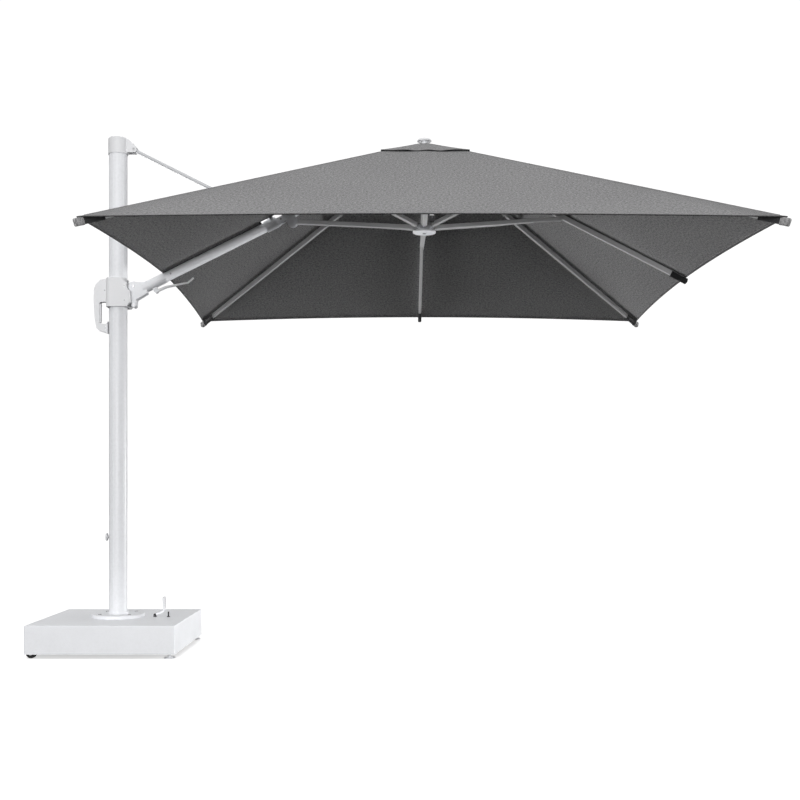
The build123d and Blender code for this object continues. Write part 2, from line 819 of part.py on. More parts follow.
with BuildPart() as tilt_lever:
    with BuildSketch(arm_side):
        with Locations((lever_pivot_u, lever_pivot_v)):
            Circle(9)
        with BuildLine():
            Polyline(
                (lever_pivot_u, lever_pivot_v + 7),
                (lever_pivot_u + 60, lever_pivot_v + 2),
                (lever_tip_u - 40, lever_tip_v - 6),
                (lever_tip_u, lever_tip_v + 3),
                (lever_tip_u, lever_tip_v - 3),
                (lever_tip_u - 40, lever_tip_v - 14),
                (lever_pivot_u + 60, lever_pivot_v - 10),
                (lever_pivot_u, lever_pivot_v - 7),
                close=True,
            )
        make_face()
        with Locations((lever_pivot_u, lever_pivot_v)):
            Circle(pin_radius + running, mode=Mode.SUBTRACT)
    extrude(amount=lever_width / 2, both=True)
finish(tilt_lever, "tilt_lever")

with BuildPart() as arm_knuckle:
    with BuildSketch(arm_section(tube_end - 44)):
        Circle(plug_radius)
    extrude(amount=44)
    with BuildSketch(arm_side):
        with BuildLine():
            Polyline(
                (tube_end, 15),
                (knuckle_end, 15),
                (knuckle_end, -16),
                (tube_end + 20, -22),
                (tube_end, -27),
                close=True,
            )
        make_face()
    extrude(amount=19, both=True)
    with BuildSketch(arm_side):
        with Locations((beam_joint_u, beam_joint_v)):
            Circle(30)
    extrude(amount=beam_width / 2 + side_gap + 6, both=True)
    with BuildSketch(arm_side):
        with Locations((beam_joint_u, beam_joint_v)):
            Circle(26)
        with Locations((beam_joint_u, beam_joint_v - 12)):
            Rectangle(80, 48)
    extrude(amount=beam_width / 2 + side_gap, both=True, mode=Mode.SUBTRACT)
    with BuildSketch(arm_side):
        with Locations((beam_joint_u, beam_joint_v)):
            Circle(big_pin_radius)
    extrude(amount=beam_width / 2 + side_gap + 8, both=True)
finish(arm_knuckle, "arm_knuckle")

with BuildPart() as arm_extension:
    with BuildSketch(arm_section(knuckle_end)):
        RectangleRounded(extension_width, extension_height, 6)
    extrude(amount=arm_hinge_distance - 24 - knuckle_end)
    with BuildSketch(arm_side):
        with Locations((arm_hinge_distance, 0)):
            Circle(9)
        with Locations((arm_hinge_distance - 14, 0)):
            Rectangle(28, 18)
        with Locations((arm_hinge_distance, 0)):
            Circle(pin_radius + running, mode=Mode.SUBTRACT)
    extrude(amount=6, both=True)
finish(arm_extension, "arm_extension")

with BuildPart() as arm_screws:
    for distance, height, half in ((217, 0, arm_radius), (tube_end + 24, 0, 19), (tube_end + 130, 0, 19)):
        for side in (-1, 1):
            with BuildSketch(arm_side.offset(side * half)):
                with Locations((distance, height)):
                    Circle(5)
            extrude(amount=side * 2.2)
finish(arm_screws, "arm_screws")

# ---------------------------------------------------------------------------
# Top hub
# ---------------------------------------------------------------------------

tongue_half = lug_thickness / 2 - side_gap
plate_thickness = 4.0
hub_eye = 9.0
core_bottom = apex_height - 65.0
core_top = apex_height - 29.0
top_root = top_core_radius - 3
lower_root = hub_core_radius - 6


# Azimuth, radius and height of each hinge on the top hub, and half the gap between its lugs
top_hinges = [(180, arm_hinge_radius, arm_hinge_height, 6 + side_gap)]
lower_hinges = [(180, beam_hinge_radius, lower_hinge_height, 6 + side_gap)]
for name, azimuth, corner, fork_length in ribs:
    slope, gap = (corner_slope, corner_rib_gap) if corner else (mid_slope, mid_rib_gap)
    height = rib_line_height(hub_hinge_radius, slope, gap)
    top_hinges.append((azimuth, hub_hinge_radius, height, lug_thickness / 2))
    lower_hinges.append((azimuth, lower_hinge_radius, lower_hinge_height, lug_thickness / 2))

hub_plane = Plane(origin=(hub_x, 0, 0))

with BuildPart() as top_hub:
    with BuildSketch(hub_plane.offset(core_bottom)):
        Circle(top_core_radius)
    extrude(amount=core_top - core_bottom)
    with BuildSketch(hub_plane.offset(core_top)):
        Circle(finial_stem_radius)
    extrude(amount=vent_cap_lift + apex_height - core_top)
    for azimuth, radius, height, half_gap in top_hinges:
        for side in (-1, 1):
            with BuildSketch(radial_plane(azimuth).offset(side * (half_gap + plate_thickness / 2))):
                with Locations((radius, height)):
                    Circle(hub_eye)
                with Locations(((radius + top_root) / 2, height)):
                    Rectangle(radius - top_root, 2 * hub_eye)
            extrude(amount=plate_thickness / 2, both=True)
        with BuildSketch(radial_plane(azimuth)):
            with Locations((radius, height)):
                Circle(pin_radius)
        extrude(amount=half_gap + plate_thickness, both=True)
finish(top_hub, "top_hub")

with BuildPart() as finial:
    with BuildSketch(hub_plane.offset(apex_height + vent_cap_lift)):
        Circle(40)
    extrude(amount=10)
    fillet(finial.edges().group_by(Axis.Z)[-1], radius=7)
    with BuildSketch(hub_plane.offset(apex_height + vent_cap_lift + 9)):
        Circle(14)
    extrude(amount=9)
    fillet(finial.edges().group_by(Axis.Z)[-1], radius=4)
finish(finial, "finial")

# ---------------------------------------------------------------------------
# Canopy and vent cap
# ---------------------------------------------------------------------------


def rim_point(azimuth):
    """Point of the canopy's edge: a corner, or the hollowed middle of a side."""
    turn = radians(azimuth)
    if azimuth % 90:
        radius = half_side * sqrt(2)
        height = apex_height - half_side * panel_slope
    else:
        radius = half_side - edge_hollow
        height = apex_height - radius * panel_slope
    if azimuth == 180:
        height += arm_tenting
    return (hub_x + radius * cos(turn), radius * sin(turn), height)


with BuildPart() as canopy:
    apex = (hub_x, 0, apex_height)
    for azimuth in range(0, 360, 45):
        panel = Face(Wire.make_polygon([apex, rim_point(azimuth), rim_point((azimuth + 45) % 360)]))
        extrude(panel, amount=fabric_thickness * 1.15, dir=(0, 0, -1))
    with BuildSketch(hub_plane.offset(apex_height - 200)):
        Rectangle(vent_opening_side, vent_opening_side)
    extrude(amount=220, mode=Mode.SUBTRACT)
    with BuildSketch(arm_section(link_length - sleeve_inboard - 14)):
        with Locations((0, 60)):
            Rectangle(2 * (fork_half_gap + fork_plate + 8), 100)
    extrude(amount=sleeve_inboard + sleeve_outboard + 34, mode=Mode.SUBTRACT)
finish(canopy, "canopy")

with BuildPart() as vent_cap:
    half_cap = vent_cap_side / 2
    cap_apex = (hub_x, 0, apex_height + vent_cap_lift)
    drop = half_cap * panel_slope
    for azimuth in range(45, 360, 90):
        first = radians(azimuth)
        second = radians(azimuth + 90)
        reach = half_cap * sqrt(2)
        corners = [
            (hub_x + reach * cos(turn), reach * sin(turn), apex_height + vent_cap_lift - drop)
            for turn in (first, second)
        ]
        panel = Face(Wire.make_polygon([cap_apex, corners[0], corners[1]]))
        extrude(panel, amount=fabric_thickness * 1.15, dir=(0, 0, -1))
    with BuildSketch(hub_plane.offset(apex_height - 20)):
        Circle(finial_stem_radius)
    extrude(amount=60, mode=Mode.SUBTRACT)
finish(vent_cap, "vent_cap")

# ---------------------------------------------------------------------------
# Lower hub and beam
# ---------------------------------------------------------------------------

disc_bottom = lower_hinge_height - 32.0
disc_thickness = 8.0

with BuildPart() as lower_hub:
    with BuildSketch(hub_plane.offset(disc_bottom + disc_thickness)):
        Circle(hub_core_radius)
    extrude(amount=lower_hinge_height + hub_eye - disc_bottom - disc_thickness)
    for azimuth, radius, height, half_gap in lower_hinges:
        for side in (-1, 1):
            with BuildSketch(radial_plane(azimuth).offset(side * (half_gap + plate_thickness / 2))):
                with Locations((radius, height)):
                    Circle(hub_eye)
                with Locations(((radius + lower_root) / 2, height)):
                    Rectangle(radius - lower_root, 2 * hub_eye)
            extrude(amount=plate_thickness / 2, both=True)
        with BuildSketch(radial_plane(azimuth)):
            with Locations((radius, height)):
                Circle(pin_radius)
        extrude(amount=half_gap + plate_thickness, both=True)
finish(lower_hub, "lower_hub")

with BuildPart() as hub_disc:
    with BuildSketch(hub_plane.offset(disc_bottom)):
        Circle(hub_disc_radius)
    extrude(amount=disc_thickness)
    fillet(hub_disc.edges().group_by(Axis.Z)[0], radius=4)
finish(hub_disc, "hub_disc")

with BuildPart() as hub_bolt:
    with BuildSketch(hub_plane.offset(disc_bottom)):
        Circle(10)
    extrude(amount=-5)
    fillet(hub_bolt.edges().group_by(Axis.Z)[0], radius=2)
finish(hub_bolt, "hub_bolt")

beam_dx = beam_joint_radius - beam_hinge_radius
beam_dz = beam_joint_height - lower_hinge_height
beam_length = hypot(beam_dx, beam_dz)
beam_angle = atan2(beam_dz, beam_dx)
beam_side = Plane(
    origin=(hub_x - beam_hinge_radius, 0, lower_hinge_height),
    x_dir=(-cos(beam_angle), 0, sin(beam_angle)),
    z_dir=(0, 1, 0),
)


def beam_section(distance):
    """Plane across the beam at a distance from its hinge on the lower hub."""
    place = beam_side.from_local_coords(Vector(distance, 0, 0))
    return Plane(origin=place, x_dir=(0, 1, 0), z_dir=(-cos(beam_angle), 0, sin(beam_angle)))


with BuildPart() as beam:
    with BuildSketch(beam_section(46)):
        RectangleRounded(beam_width, beam_height, 4)
    extrude(amount=beam_length - 46 - 30)
    with BuildSketch(beam_side):
        with Locations((24, 0)):
            Rectangle(48, 2 * hub_eye)
        Circle(hub_eye)
        Circle(pin_radius + running, mode=Mode.SUBTRACT)
    extrude(amount=6, both=True)
    with BuildSketch(beam_side):
        with Locations((beam_length, 0)):
            Circle(17)
        with Locations((beam_length - 18, 0)):
            Rectangle(36, beam_height)
        with Locations((beam_length, 0)):
            Circle(big_pin_radius + running, mode=Mode.SUBTRACT)
    extrude(amount=beam_width / 2, both=True)
finish(beam, "beam")

# ---------------------------------------------------------------------------
# Ribs and struts
# ---------------------------------------------------------------------------


def inclined(plane, x, y, angle):
    """The same upright plane with its origin moved and its x axis turned up by an angle."""
    turn = radians(angle)
    along = plane.x_dir * cos(turn) + plane.y_dir * sin(turn)
    return Plane(origin=plane.from_local_coords(Vector(x, y, 0)), x_dir=along, z_dir=plane.z_dir)


def across(plane, distance):
    """Plane across a bar that runs along a side plane's x axis."""
    place = plane.from_local_coords(Vector(distance, 0, 0))
    return Plane(origin=place, x_dir=plane.z_dir, z_dir=plane.x_dir)


for name, azimuth, corner, fork_length in ribs:
    slope, gap = (corner_slope, corner_rib_gap) if corner else (mid_slope, mid_rib_gap)
    end_radius = tip_radius if corner else half_side - edge_hollow + tip_overhang
    joint_radius = corner_joint_radius if corner else mid_joint_radius
    plane = radial_plane(azimuth)
    start_height = rib_line_height(hub_hinge_radius, slope, gap)
    rib_side = inclined(plane, hub_hinge_radius, start_height, -slope)
    length = (end_radius - hub_hinge_radius) / cos(radians(slope))
    joint_height = rib_line_height(joint_radius, slope, gap) - lug_drop
    joint_along = (joint_radius - hub_hinge_radius) * cos(radians(slope)) + lug_drop * sin(radians(slope))
    joint_drop = lug_drop * cos(radians(slope))

    with BuildPart() as rib:
        with BuildSketch(across(rib_side, 24)):
            RectangleRounded(rib_width, rib_height, 3)
            RectangleRounded(rib_width - 2 * rib_wall, rib_height - 2 * rib_wall, 1.5, mode=Mode.SUBTRACT)
        extrude(amount=length - 24)
        with BuildSketch(across(rib_side, 24)):
            RectangleRounded(rib_width, rib_height, 3)
        extrude(amount=6)
        with BuildSketch(across(rib_side, length - 6)):
            RectangleRounded(rib_width, rib_height, 3)
        extrude(amount=6)
        with BuildSketch(rib_side):
            Circle(hub_eye - 1)
            with Locations((14, 0)):
                Rectangle(28, 2 * (hub_eye - 1))
            Circle(pin_radius + running, mode=Mode.SUBTRACT)
        extrude(amount=tongue_half, both=True)
        with BuildSketch(rib_side):
            with Locations((joint_along, -joint_drop)):
                Circle(7)
            with Locations((joint_along, -joint_drop / 2 - 3)):
                Rectangle(30, joint_drop - 6)
        extrude(amount=lug_thickness / 2, both=True)
    finish(rib, f"{name}_rib")

    rise = joint_height - lower_hinge_height
    run = joint_radius - lower_hinge_radius
    strut_length = hypot(run, rise)
    strut_plane = inclined(plane, lower_hinge_radius, lower_hinge_height, degrees(atan2(rise, run)))
    outer = rib_width / 2 + loose + cheek_thickness
    with BuildPart() as strut:
        with BuildSketch(across(strut_plane, 26)):
            RectangleRounded(2 * outer, strut_height, 3)
        extrude(amount=strut_length - 26 - 9)
        with BuildSketch(strut_plane):
            with Locations((strut_length, 0)):
                Circle(strut_height / 2)
            with Locations((strut_length - 8, 0)):
                Rectangle(16, strut_height)
        extrude(amount=outer, both=True)
        # The gap between the cheeks; off the arm's plane it's open on the side facing the mast,
        # so that only the cheek on the far side of the rib is left.
        for side in (-1, 1):
            open_side = side * sin(radians(azimuth)) < -flat_angle
            with BuildSketch(strut_plane):
                with Locations((strut_length - fork_length / 2 + strut_height, 0)):
                    Rectangle(fork_length + 2 * strut_height, 2 * strut_height)
            extrude(amount=side * (outer + 1 if open_side else rib_width / 2 + loose), mode=Mode.SUBTRACT)
        with BuildSketch(strut_plane):
            Circle(hub_eye - 1)
            with Locations((16, 0)):
                Rectangle(32, 2 * (hub_eye - 1))
            Circle(pin_radius + running, mode=Mode.SUBTRACT)
        extrude(amount=tongue_half, both=True)
        for side in (-1, 1):
            if side * sin(radians(azimuth)) > -flat_angle:
                with BuildSketch(strut_plane.offset(side * outer)):
                    with Locations((strut_length, 0)):
                        Circle(5)
                extrude(amount=side * 2)
    finish(strut, f"{name}_strut")
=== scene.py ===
"""Looks of a side-post parasol: canopy cloth, hems, pockets, vent cap, finishes and a plain studio."""

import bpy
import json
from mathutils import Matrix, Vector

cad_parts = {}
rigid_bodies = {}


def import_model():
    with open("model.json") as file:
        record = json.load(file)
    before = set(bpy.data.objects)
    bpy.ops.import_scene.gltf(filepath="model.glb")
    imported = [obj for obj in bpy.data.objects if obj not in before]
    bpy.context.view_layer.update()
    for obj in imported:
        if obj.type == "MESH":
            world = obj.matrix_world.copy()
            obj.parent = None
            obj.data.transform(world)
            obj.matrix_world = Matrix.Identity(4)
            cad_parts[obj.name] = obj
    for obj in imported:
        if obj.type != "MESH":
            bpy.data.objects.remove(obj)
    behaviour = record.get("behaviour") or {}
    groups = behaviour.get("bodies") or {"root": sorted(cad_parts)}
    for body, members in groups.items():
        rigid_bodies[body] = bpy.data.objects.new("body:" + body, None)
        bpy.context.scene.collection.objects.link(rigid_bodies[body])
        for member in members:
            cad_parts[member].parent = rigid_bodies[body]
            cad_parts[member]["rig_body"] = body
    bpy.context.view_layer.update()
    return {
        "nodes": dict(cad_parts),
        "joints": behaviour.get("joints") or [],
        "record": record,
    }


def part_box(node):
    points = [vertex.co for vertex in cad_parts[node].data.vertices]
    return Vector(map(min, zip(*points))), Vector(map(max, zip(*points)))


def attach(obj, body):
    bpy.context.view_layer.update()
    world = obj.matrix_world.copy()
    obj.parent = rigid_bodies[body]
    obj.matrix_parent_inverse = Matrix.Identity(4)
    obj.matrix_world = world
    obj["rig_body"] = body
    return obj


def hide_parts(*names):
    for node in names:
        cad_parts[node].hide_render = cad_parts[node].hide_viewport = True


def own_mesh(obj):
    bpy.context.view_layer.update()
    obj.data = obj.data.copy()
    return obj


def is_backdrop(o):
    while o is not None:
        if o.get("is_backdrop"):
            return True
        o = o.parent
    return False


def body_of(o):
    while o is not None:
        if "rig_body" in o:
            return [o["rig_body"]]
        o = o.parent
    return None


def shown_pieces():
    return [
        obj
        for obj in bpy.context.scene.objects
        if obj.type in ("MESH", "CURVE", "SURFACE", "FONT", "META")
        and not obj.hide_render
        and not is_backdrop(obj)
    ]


bl_info = {
    "name": "Cantilever Parasol Looks",
    "version": (1, 0, 0),
    "blender": (4, 5, 0),
    "location": "3D View > Sidebar > Parasol",
    "description": "Builds the soft goods, finishes and studio around a packed parasol frame",
    "category": "Add Mesh",
}

import json
import math

import bmesh
import bpy
from mathutils import Vector

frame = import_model()

FABRIC_SLOT = "grey_canopy_fabric"
TAU = 2 * math.pi

canopy_low, canopy_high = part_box("canopy")
cap_low, cap_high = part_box("vent_cap")
fork_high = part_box("strut_fork")[1]
sleeve_low, sleeve_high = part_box("arm_sleeve")
hub_x = (canopy_low.x + canopy_high.x) / 2
half_side = (canopy_high.y - canopy_low.y) / 2
cap_half = (cap_high.y - cap_low.y) / 2
CLOTH_DROP = 0.00138
VENT_HALF = 0.17
HEM_THICKNESS = 0.0032
EDGE_WIDTH = 0.0035
EDGE_THICKNESS = 0.0046
SLOT_MARGIN = 0.013
SLOT_BAND = 0.012
SLOT_BAND_THICKNESS = 0.003
RIB_OVERHANG = 0.008
POCKET_SETBACK = 0.06
POCKET_HALF_WIDTH = 0.0118
POCKET_HALF_HEIGHT = 0.0158
TAB_LENGTH = 0.036
TAB_HALF_WIDTH = 0.0135
TAB_HALF_HEIGHT = 0.0175
CAP_BAND = 0.02
CAP_BAND_THICKNESS = 0.0022
roof_slope = (canopy_high.z - canopy_low.z - CLOTH_DROP) / (half_side - VENT_HALF)
apex_z = canopy_high.z + roof_slope * VENT_HALF

# Name, azimuth, body that carries it
PETALS = [
    ("right", 0, "right_rib"),
    ("back_right", 45, "back_right_rib"),
    ("back", 90, "back_rib"),
    ("back_left", 135, "back_left_rib"),
    ("arm_side", 180, "arm"),
    ("front_left", 225, "front_left_rib"),
    ("front", 270, "front_rib"),
    ("front_right", 315, "front_right_rib"),
]


# ---------------------------------------------------------------------------
# Settings a user would change
# ---------------------------------------------------------------------------


class ParasolCloth(bpy.types.PropertyGroup):
    """Sizes and colours of the canopy and its trim."""

    cloth: bpy.props.FloatProperty(
        name="Cloth thickness",
        description="Upright thickness of the fabric",
        default=CLOTH_DROP,
        unit="LENGTH",
    )
    sag: bpy.props.FloatProperty(
        name="Sag", description="How far the cloth hangs in between two ribs", default=0.012, unit="LENGTH"
    )
    hollow: bpy.props.FloatProperty(
        name="Edge hollow", description="How far a side's middle is cut in", default=0.045, unit="LENGTH"
    )
    tenting: bpy.props.FloatProperty(
        name="Arm tenting",
        description="Rise of the cloth's edge over the arm",
        default=0.026,
        unit="LENGTH",
    )
    vent_half: bpy.props.FloatProperty(
        name="Vent half side",
        description="Half the side of the vent opening",
        default=VENT_HALF,
        unit="LENGTH",
    )
    hem: bpy.props.FloatProperty(
        name="Hem width", description="Width of the folded edge", default=0.016, unit="LENGTH"
    )
    seam: bpy.props.FloatProperty(
        name="Seam width", description="Width of the felled corner seams", default=0.012, unit="LENGTH"
    )
    pocket: bpy.props.FloatProperty(
        name="Pocket length", description="Length of the rib end pockets", default=0.1, unit="LENGTH"
    )
    flutter: bpy.props.FloatProperty(
        name="Cap flutter",
        description="Height of the waves in the vent cap's edge",
        default=0.005,
        unit="LENGTH",
    )
    light_thread: bpy.props.FloatVectorProperty(
        name="Light thread",
        description="Colour of the lighter yarn",
        subtype="COLOR",
        default=(0.4, 0.398, 0.402),
    )
    dark_thread: bpy.props.FloatVectorProperty(
        name="Dark thread",
        description="Colour of the darker yarn",
        subtype="COLOR",
        default=(0.148, 0.146, 0.15),
    )
    trim: bpy.props.FloatVectorProperty(
        name="Trim",
        description="Colour of pockets and webbing",
        subtype="COLOR",
        default=(0.018, 0.018, 0.019),
    )


class ParasolFrame(bpy.types.PropertyGroup):
    """Colours of the frame's finishes."""

    coat: bpy.props.FloatVectorProperty(
        name="Coat", description="Powder coat on mast and arm", subtype="COLOR", default=(0.84, 0.85, 0.875)
    )
    rib_coat: bpy.props.FloatVectorProperty(
        name="Rib coat", description="Coat on ribs and struts", subtype="COLOR", default=(0.5, 0.5, 0.505)
    )
    plastic: bpy.props.FloatVectorProperty(
        name="Plastic", description="Moulded parts", subtype="COLOR", default=(0.77, 0.775, 0.79)
    )
    steel: bpy.props.FloatVectorProperty(
        name="Steel", description="Screws, pins and bolts", subtype="COLOR", default=(0.42, 0.42, 0.43)
    )
    rubber: bpy.props.FloatVectorProperty(
        name="Rubber", description="Wheel tyres", subtype="COLOR", default=(0.012, 0.012, 0.012)
    )
    stone: bpy.props.FloatVectorProperty(
        name="Stone", description="Ballast slabs", subtype="COLOR", default=(0.36, 0.355, 0.34)
    )


class ParasolStage(bpy.types.PropertyGroup):
    """Studio floor, light and camera."""

    floor_side: bpy.props.FloatProperty(
        name="Floor side", description="Side of the floor", default=80.0, unit="LENGTH"
    )
    sky: bpy.props.FloatProperty(name="Sky", description="Brightness of the surround", default=0.74)
    key: bpy.props.FloatProperty(
        name="Key light", description="Power of the overhead softbox", default=10.0, unit="POWER"
    )
    right: bpy.props.FloatProperty(
        name="Right light", description="Power of the low softbox at the right", default=300.0, unit="POWER"
    )
    left: bpy.props.FloatProperty(
        name="Left light",
        description="Power of the low softbox that lights the canopy",
        default=420.0,
        unit="POWER",
    )
    glow: bpy.props.FloatProperty(
        name="Floor light",
        description="Power of the light that picks out the ribs",
        default=38.0,
        unit="POWER",
    )
    fill: bpy.props.FloatProperty(
        name="Base light",
        description="Power of the softbox that lights the base",
        default=90.0,
        unit="POWER",
    )
    front: bpy.props.FloatProperty(
        name="Front light", description="Power of the softbox by the camera", default=600.0, unit="POWER"
    )
    camera_place: bpy.props.FloatVectorProperty(
        name="Camera", description="Where the camera stands", default=(0.1652, -6.196, 0.91), subtype="XYZ"
    )
    lens: bpy.props.FloatProperty(name="Lens", description="Focal length in millimetres", default=50.0)
    rise: bpy.props.FloatProperty(name="Rise", description="Vertical shift of the lens", default=0.106)


# ---------------------------------------------------------------------------
# Node helpers and shared effects
# ---------------------------------------------------------------------------


def put(tree, kind, options=None, ports=(), **wires):
    """Add a node. Ports fill its inputs in order, wires by name; each is a value or a socket."""
    node = tree.nodes.new(kind)
    for name, value in (options or {}).items():
        setattr(node, name, value)
    pairs = [(node.inputs[place], value) for place, value in enumerate(ports) if value is not None]
    pairs += [(node.inputs[name.replace("_", " ")], value) for name, value in wires.items()]
    for socket, value in pairs:
        if isinstance(value, bpy.types.NodeSocket):
            tree.links.new(value, socket)
        else:
            socket.default_value = value
    return node


def maths(tree, operation, *ports):
    """One arithmetic step; returns its output."""
    return put(tree, "ShaderNodeMath", {"operation": operation}, ports).outputs[0]


def blended(tree, share, first, second, mode="MIX"):
    """Mix two colours; returns the colour."""
    node = put(tree, "ShaderNodeMix", {"data_type": "RGBA", "blend_type": mode})
    for name, value in (("Factor_Float", share), ("A_Color", first), ("B_Color", second)):
        socket = next(entry for entry in node.inputs if entry.identifier == name)
        if isinstance(value, bpy.types.NodeSocket):
            tree.links.new(value, socket)
        else:
            socket.default_value = value
    return next(entry for entry in node.outputs if entry.identifier == "Result_Color")


def span(tree, value, low, high, to_low, to_high):
    """Map a value from one range to another, held at its ends."""
    return put(tree, "ShaderNodeMapRange", None, (value, low, high, to_low, to_high)).outputs[0]


def opaque(colour):
    """A colour with full alpha."""
    return (*tuple(colour)[:3], 1.0)


def effect(name, inputs, outputs):
    """An empty shader node group with named sockets, and its two ends."""
    tree = bpy.data.node_groups.new(name, "ShaderNodeTree")
    for label, kind, default in inputs:
        socket = tree.interface.new_socket(label, in_out="INPUT", socket_type=kind)
        if default is not None:
            socket.default_value = default
    for label, kind in outputs:
        tree.interface.new_socket(label, in_out="OUTPUT", socket_type=kind)
    return tree, tree.nodes.new("NodeGroupInput"), tree.nodes.new("NodeGroupOutput")


def melange_weave():
    """Plain weave of mottled yarn: threads cross, each with its own lighter and darker lengths."""
    tree, given, put_out = effect(
        "Melange weave",
        [
            ("Coordinates", "NodeSocketVector", None),
            ("Light", "NodeSocketColor", (0.3, 0.3, 0.3, 1)),
            ("Dark", "NodeSocketColor", (0.15, 0.15, 0.15, 1)),
            ("Threads", "NodeSocketFloat", 900.0),
            ("Mottle", "NodeSocketFloat", 1.0),
        ],
        [("Color", "NodeSocketColor"), ("Roughness", "NodeSocketFloat"), ("Height", "NodeSocketFloat")],
    )
    place = given.outputs["Coordinates"]
    threads = given.outputs["Threads"]
    split = put(tree, "ShaderNodeSeparateXYZ", None, (place,))
    crossing = []
    for axis in (0, 1):
        turns = maths(tree, "MULTIPLY", maths(tree, "MULTIPLY", split.outputs[axis], threads), math.pi)
        crossing.append(maths(tree, "ABSOLUTE", maths(tree, "SINE", turns)))
    weave = maths(tree, "MULTIPLY", crossing[0], crossing[1])
    fibres = []
    for stretch in ((260.0, 1500.0, 1.0), (1500.0, 260.0, 1.0)):
        drawn = put(tree, "ShaderNodeMapping", {"vector_type": "POINT"}, (place,), Scale=stretch)
        fibre = put(tree, "ShaderNodeTexNoise", None, (), Vector=drawn.outputs[0], Scale=1.0, Detail=2.0)
        fibres.append(fibre.outputs[0])
    streaks = maths(tree, "ADD", fibres[0], fibres[1])
    clumps = put(tree, "ShaderNodeTexNoise", None, (), Vector=place, Scale=85.0, Detail=4.0, Roughness=0.8)
    shade = put(tree, "ShaderNodeTexNoise", None, (), Vector=place, Scale=1.3, Detail=2.0)
    clumped = span(tree, clumps.outputs[0], 0.35, 0.65, -0.6, 0.6)
    mottled = maths(tree, "MULTIPLY", clumped, given.outputs["Mottle"])
    base = maths(tree, "ADD", span(tree, streaks, 0.75, 1.25, 0.05, 0.95), mottled)
    broad = span(tree, shade.outputs[0], 0.3, 0.7, -0.06, 0.06)
    share = put(tree, "ShaderNodeMath", {"operation": "ADD", "use_clamp": True}, (base, broad)).outputs[0]
    yarn = blended(tree, share, given.outputs["Dark"], given.outputs["Light"])
    shadow = span(tree, weave, 0.0, 1.0, 0.82, 1.08)
    tint = put(tree, "ShaderNodeCombineColor", None, (shadow, shadow, shadow)).outputs[0]
    tree.links.new(blended(tree, 1.0, yarn, tint, "MULTIPLY"), put_out.inputs["Color"])
    tree.links.new(span(tree, share, 0.0, 1.0, 0.95, 0.82), put_out.inputs["Roughness"])
    tree.links.new(maths(tree, "ADD", weave, maths(tree, "MULTIPLY", share, 0.4)), put_out.inputs["Height"])
    return tree


def stitch_rows():
    """Two rows of running stitches beside a strip's edges; the strip runs along the first coordinate."""
    tree, given, put_out = effect(
        "Stitch rows",
        [
            ("Coordinates", "NodeSocketVector", None),
            ("Stitches per metre", "NodeSocketFloat", 220.0),
            ("Row place", "NodeSocketFloat", 0.28),
        ],
        [("Mask", "NodeSocketFloat"), ("Height", "NodeSocketFloat")],
    )
    split = put(tree, "ShaderNodeSeparateXYZ", None, (given.outputs["Coordinates"],))
    stitches = maths(tree, "MULTIPLY", split.outputs[0], given.outputs["Stitches per metre"])
    along = maths(tree, "FRACT", stitches)
    middle = maths(tree, "ABSOLUTE", maths(tree, "SUBTRACT", split.outputs[1], 0.5))
    away = maths(tree, "ABSOLUTE", maths(tree, "SUBTRACT", middle, given.outputs["Row place"]))
    row = span(tree, away, 0.02, 0.06, 1.0, 0.0)
    dash = span(tree, maths(tree, "ABSOLUTE", maths(tree, "SUBTRACT", along, 0.5)), 0.3, 0.38, 1.0, 0.0)
    mask = maths(tree, "MULTIPLY", row, dash)
    tree.links.new(mask, put_out.inputs["Mask"])
    sunk = maths(tree, "SUBTRACT", maths(tree, "MULTIPLY", mask, 0.7), row)
    tree.links.new(sunk, put_out.inputs["Height"])
    return tree


